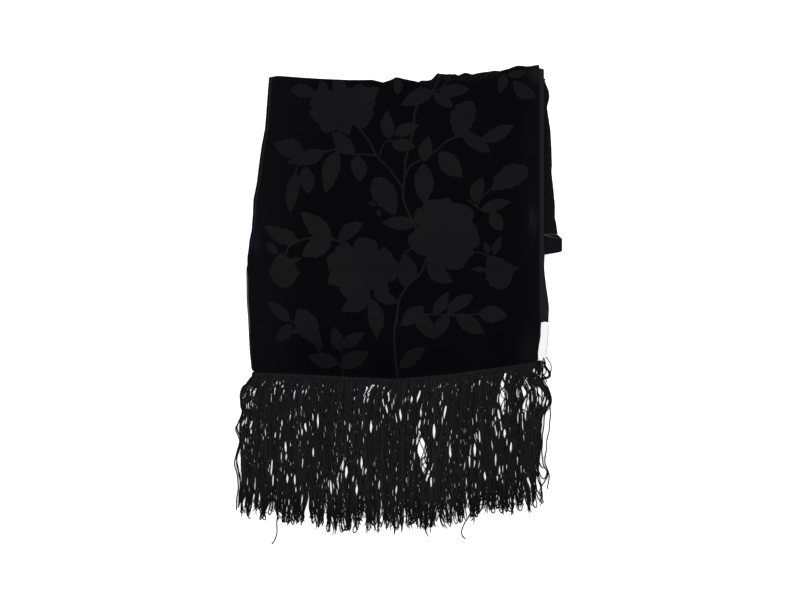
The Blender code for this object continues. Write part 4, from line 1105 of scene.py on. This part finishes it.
# Looped ends: yarns that turn back on themselves at the tip, in loops 2 to 6 mm wide
LOOPS = 54
LOOP_RADIUS = (1.1, 3.1)
LOOP_LENGTH = 2.2
LOOP_LEGS = (36, 22, 11)
LOOP_TUBE = 0.95
chance = np.random.default_rng(41)
loop_x = chance.uniform(-190, 180, LOOPS)
loop_r = chance.uniform(*LOOP_RADIUS, LOOPS)
loop_y = value_at(YARN_ENDS, loop_x) + chance.uniform(-1, 9, LOOPS) + LOOP_LENGTH * loop_r
lean = chance.normal(0, 0.24, (LOOPS, 1))
turn = np.linspace(-0.2 * math.pi, 1.2 * math.pi, 18)[None, :]
x = loop_r[:, None] * np.cos(turn)
y = -LOOP_LENGTH * loop_r[:, None] * np.sin(turn)
x = np.hstack([x[:, :1] * (0.1, 0.3, 0.7), x, x[:, -1:] * (0.7, 0.3, 0.1)])
y = np.hstack([y[:, :1] + LOOP_LEGS, y, y[:, -1:] + LOOP_LEGS[::-1]])
x = x + loop_x[:, None] + lean * y
y = y + loop_y[:, None]
z = 1.6 + 0.6 * np.sin(loop_x)[:, None] + 0.2 * np.cos(0.35 * y)
points, faces = yarn_tubes(np.stack([x, y, z], axis=-1), np.full(x.shape, LOOP_TUBE))
loops = add_piece("fringe_looped_ends", points, faces, yarn_finish, "yarn", "fringe")
add_values(loops, "tone", np.full(len(points), 0.12))


# Stitching: black polyester thread, a lockstitch along the hem and along the velvet's right edge.
STITCH = 2.6
STITCH_GAP = 0.9
STITCH_RADIUS = 0.28

# Spun polyester thread: harder than the cloth round it, but too fine and dark to stand out from it
thread, tree, shader, place = start_finish("sewing_thread", {
    "Roughness": 0.6, "IOR": 1.57, "Specular IOR Level": 0.04,
})
# Ply twist is 0.3 mm long, drawn 2 mm long to show
ply = add_node(tree, "TexWave", {"bands_direction": "DIAGONAL", "Scale": 300}, {"Vector": place})
tone = add_node(tree, "Mix", {"data_type": "RGBA", 6: linear("#040404"), 7: linear("#09090a")},
                {0: ply.outputs["Fac"]})
tree.links.new(tone.outputs[2], shader.inputs["Base Color"])


def stitch_paths(line, heights):
    """Short low arcs along a line of x, y, with the height of the cloth under them."""
    length = line_lengths(line)
    starts = np.arange(1, length[-1] - STITCH - 1, STITCH + STITCH_GAP)
    places = starts[:, None] + STITCH * np.linspace(0, 1, 6)[None, :]
    arch = 0.3 * np.sin(math.pi * np.linspace(0, 1, 6))[None, :] - 0.12
    return np.stack([np.interp(places, length, line[:, 0]), np.interp(places, length, line[:, 1]),
                     np.interp(places, length, heights) + arch], axis=-1)


hem_x = np.linspace(-179, 172, 200)
hem_line = np.stack([hem_x, value_at(HEM, hem_x) + 1.6], axis=-1)
side_y = np.linspace(-66, 280, 260)
side_x = value_at(RIGHT_EDGE, side_y) + 1.5
side_height = front_height(side_x, side_y) + crease_height(side_x, side_y) + 0.35
paths = np.concatenate([stitch_paths(hem_line, np.full(200, CLOTH)),
                        stitch_paths(np.stack([side_x, side_y], axis=-1), side_height)])
points, faces = yarn_tubes(paths, np.full(paths.shape[:2], STITCH_RADIUS))
add_piece("seam_stitching", points, faces, thread, "velvet", "front_panel")


# Side tab: a narrow woven satin tape, folded under at its ends and sewn flat on the rim by its
# right side. It is blank.
TAB_LEFT = ((-68.4, 175.2), (-60, 175), (-50, 176.2), (-38.8, 178.2), (-30, 178.3), (-22.4, 178.9))
TAB_RIGHT = ((-66.8, 185), (-58.8, 186.2), (-50, 187.4), (-38.8, 188.4), (-30, 188.6), (-22.6, 188.2))
TAB_WIDTH = 10.4
TAB_LENGTH = 46
TAB_LOW = -68.6
TAB_HIGH = -22
TAB_Z = 1.9
TAB_CLOTH = 0.8
TAB_ROUND = 0.35

# Bleached polyester satin tape: smooth and bright, with fine ribs across
satin, tree, shader, place = start_finish("white_satin_tape", {
    "Roughness": 0.45, "IOR": 1.57, "Specular IOR Level": 0.4, "Sheen Weight": 0.1,
})
# Picks are 0.25 mm apart, drawn 2 mm apart to show
picks = add_node(tree, "TexWave", {"bands_direction": "Y", "Scale": 160, "Distortion": 0.4},
                 {"Vector": place})
tone = add_node(tree, "Mix", {"data_type": "RGBA", 6: linear("#c8c8c7"), 7: linear("#d2d2d1")},
                {0: picks.outputs["Fac"]})
tree.links.new(tone.outputs[2], shader.inputs["Base Color"])
bump = add_node(tree, "Bump", {"Strength": 0.2, "Distance": 0.0002}, {"Height": picks.outputs["Fac"]})
tree.links.new(bump.outputs[0], shader.inputs["Normal"])

u, t, share = cloth_grid(TAB_WIDTH, 14, TAB_LENGTH, 40, TAB_ROUND)
y = TAB_LOW + (TAB_HIGH - TAB_LOW) * t + 1.3 * u * (1 - t)
x = value_at(TAB_LEFT, y) + (value_at(TAB_RIGHT, y) - value_at(TAB_LEFT, y)) * u
y = y + np.sin(math.pi * u) * (2 * t - 1)
z = TAB_Z + 0.25 * np.sin(math.pi * t * 2) * u + 0.2 * np.sin(math.pi * u)
points, faces = closed_cloth(np.stack([x, y, z], axis=-1), TAB_CLOTH / 2 * share)
tab = add_piece("blank_side_tab", points, faces, satin, "tab", "side_tab")

# Bleached thread of the tab's stitches, greyer than the tape
pale_thread, tree, shader, place = start_finish("bleached_thread", {
    "Roughness": 0.55, "IOR": 1.57, "Specular IOR Level": 0.3,
})
ply = add_node(tree, "TexWave", {"bands_direction": "DIAGONAL", "Scale": 300}, {"Vector": place})
tone = add_node(tree, "Mix", {"data_type": "RGBA", 6: linear("#4a4a4a"), 7: linear("#6c6c6b")},
                {0: ply.outputs["Fac"]})
tree.links.new(tone.outputs[2], shader.inputs["Base Color"])
line_y = np.linspace(-64, -24.5, 60)
line = np.stack([value_at(TAB_RIGHT, line_y) - 0.9, line_y], axis=-1)
line_t = (line_y - TAB_LOW) / (TAB_HIGH - TAB_LOW)
paths = stitch_paths(line, TAB_Z + TAB_CLOTH / 2 + 0.1 + 0.23 * np.sin(2 * math.pi * line_t))
points, faces = yarn_tubes(paths, np.full(paths.shape[:2], STITCH_RADIUS))
tab_stitches = add_piece("tab_stitching", points, faces, pale_thread, "tab", "side_tab")
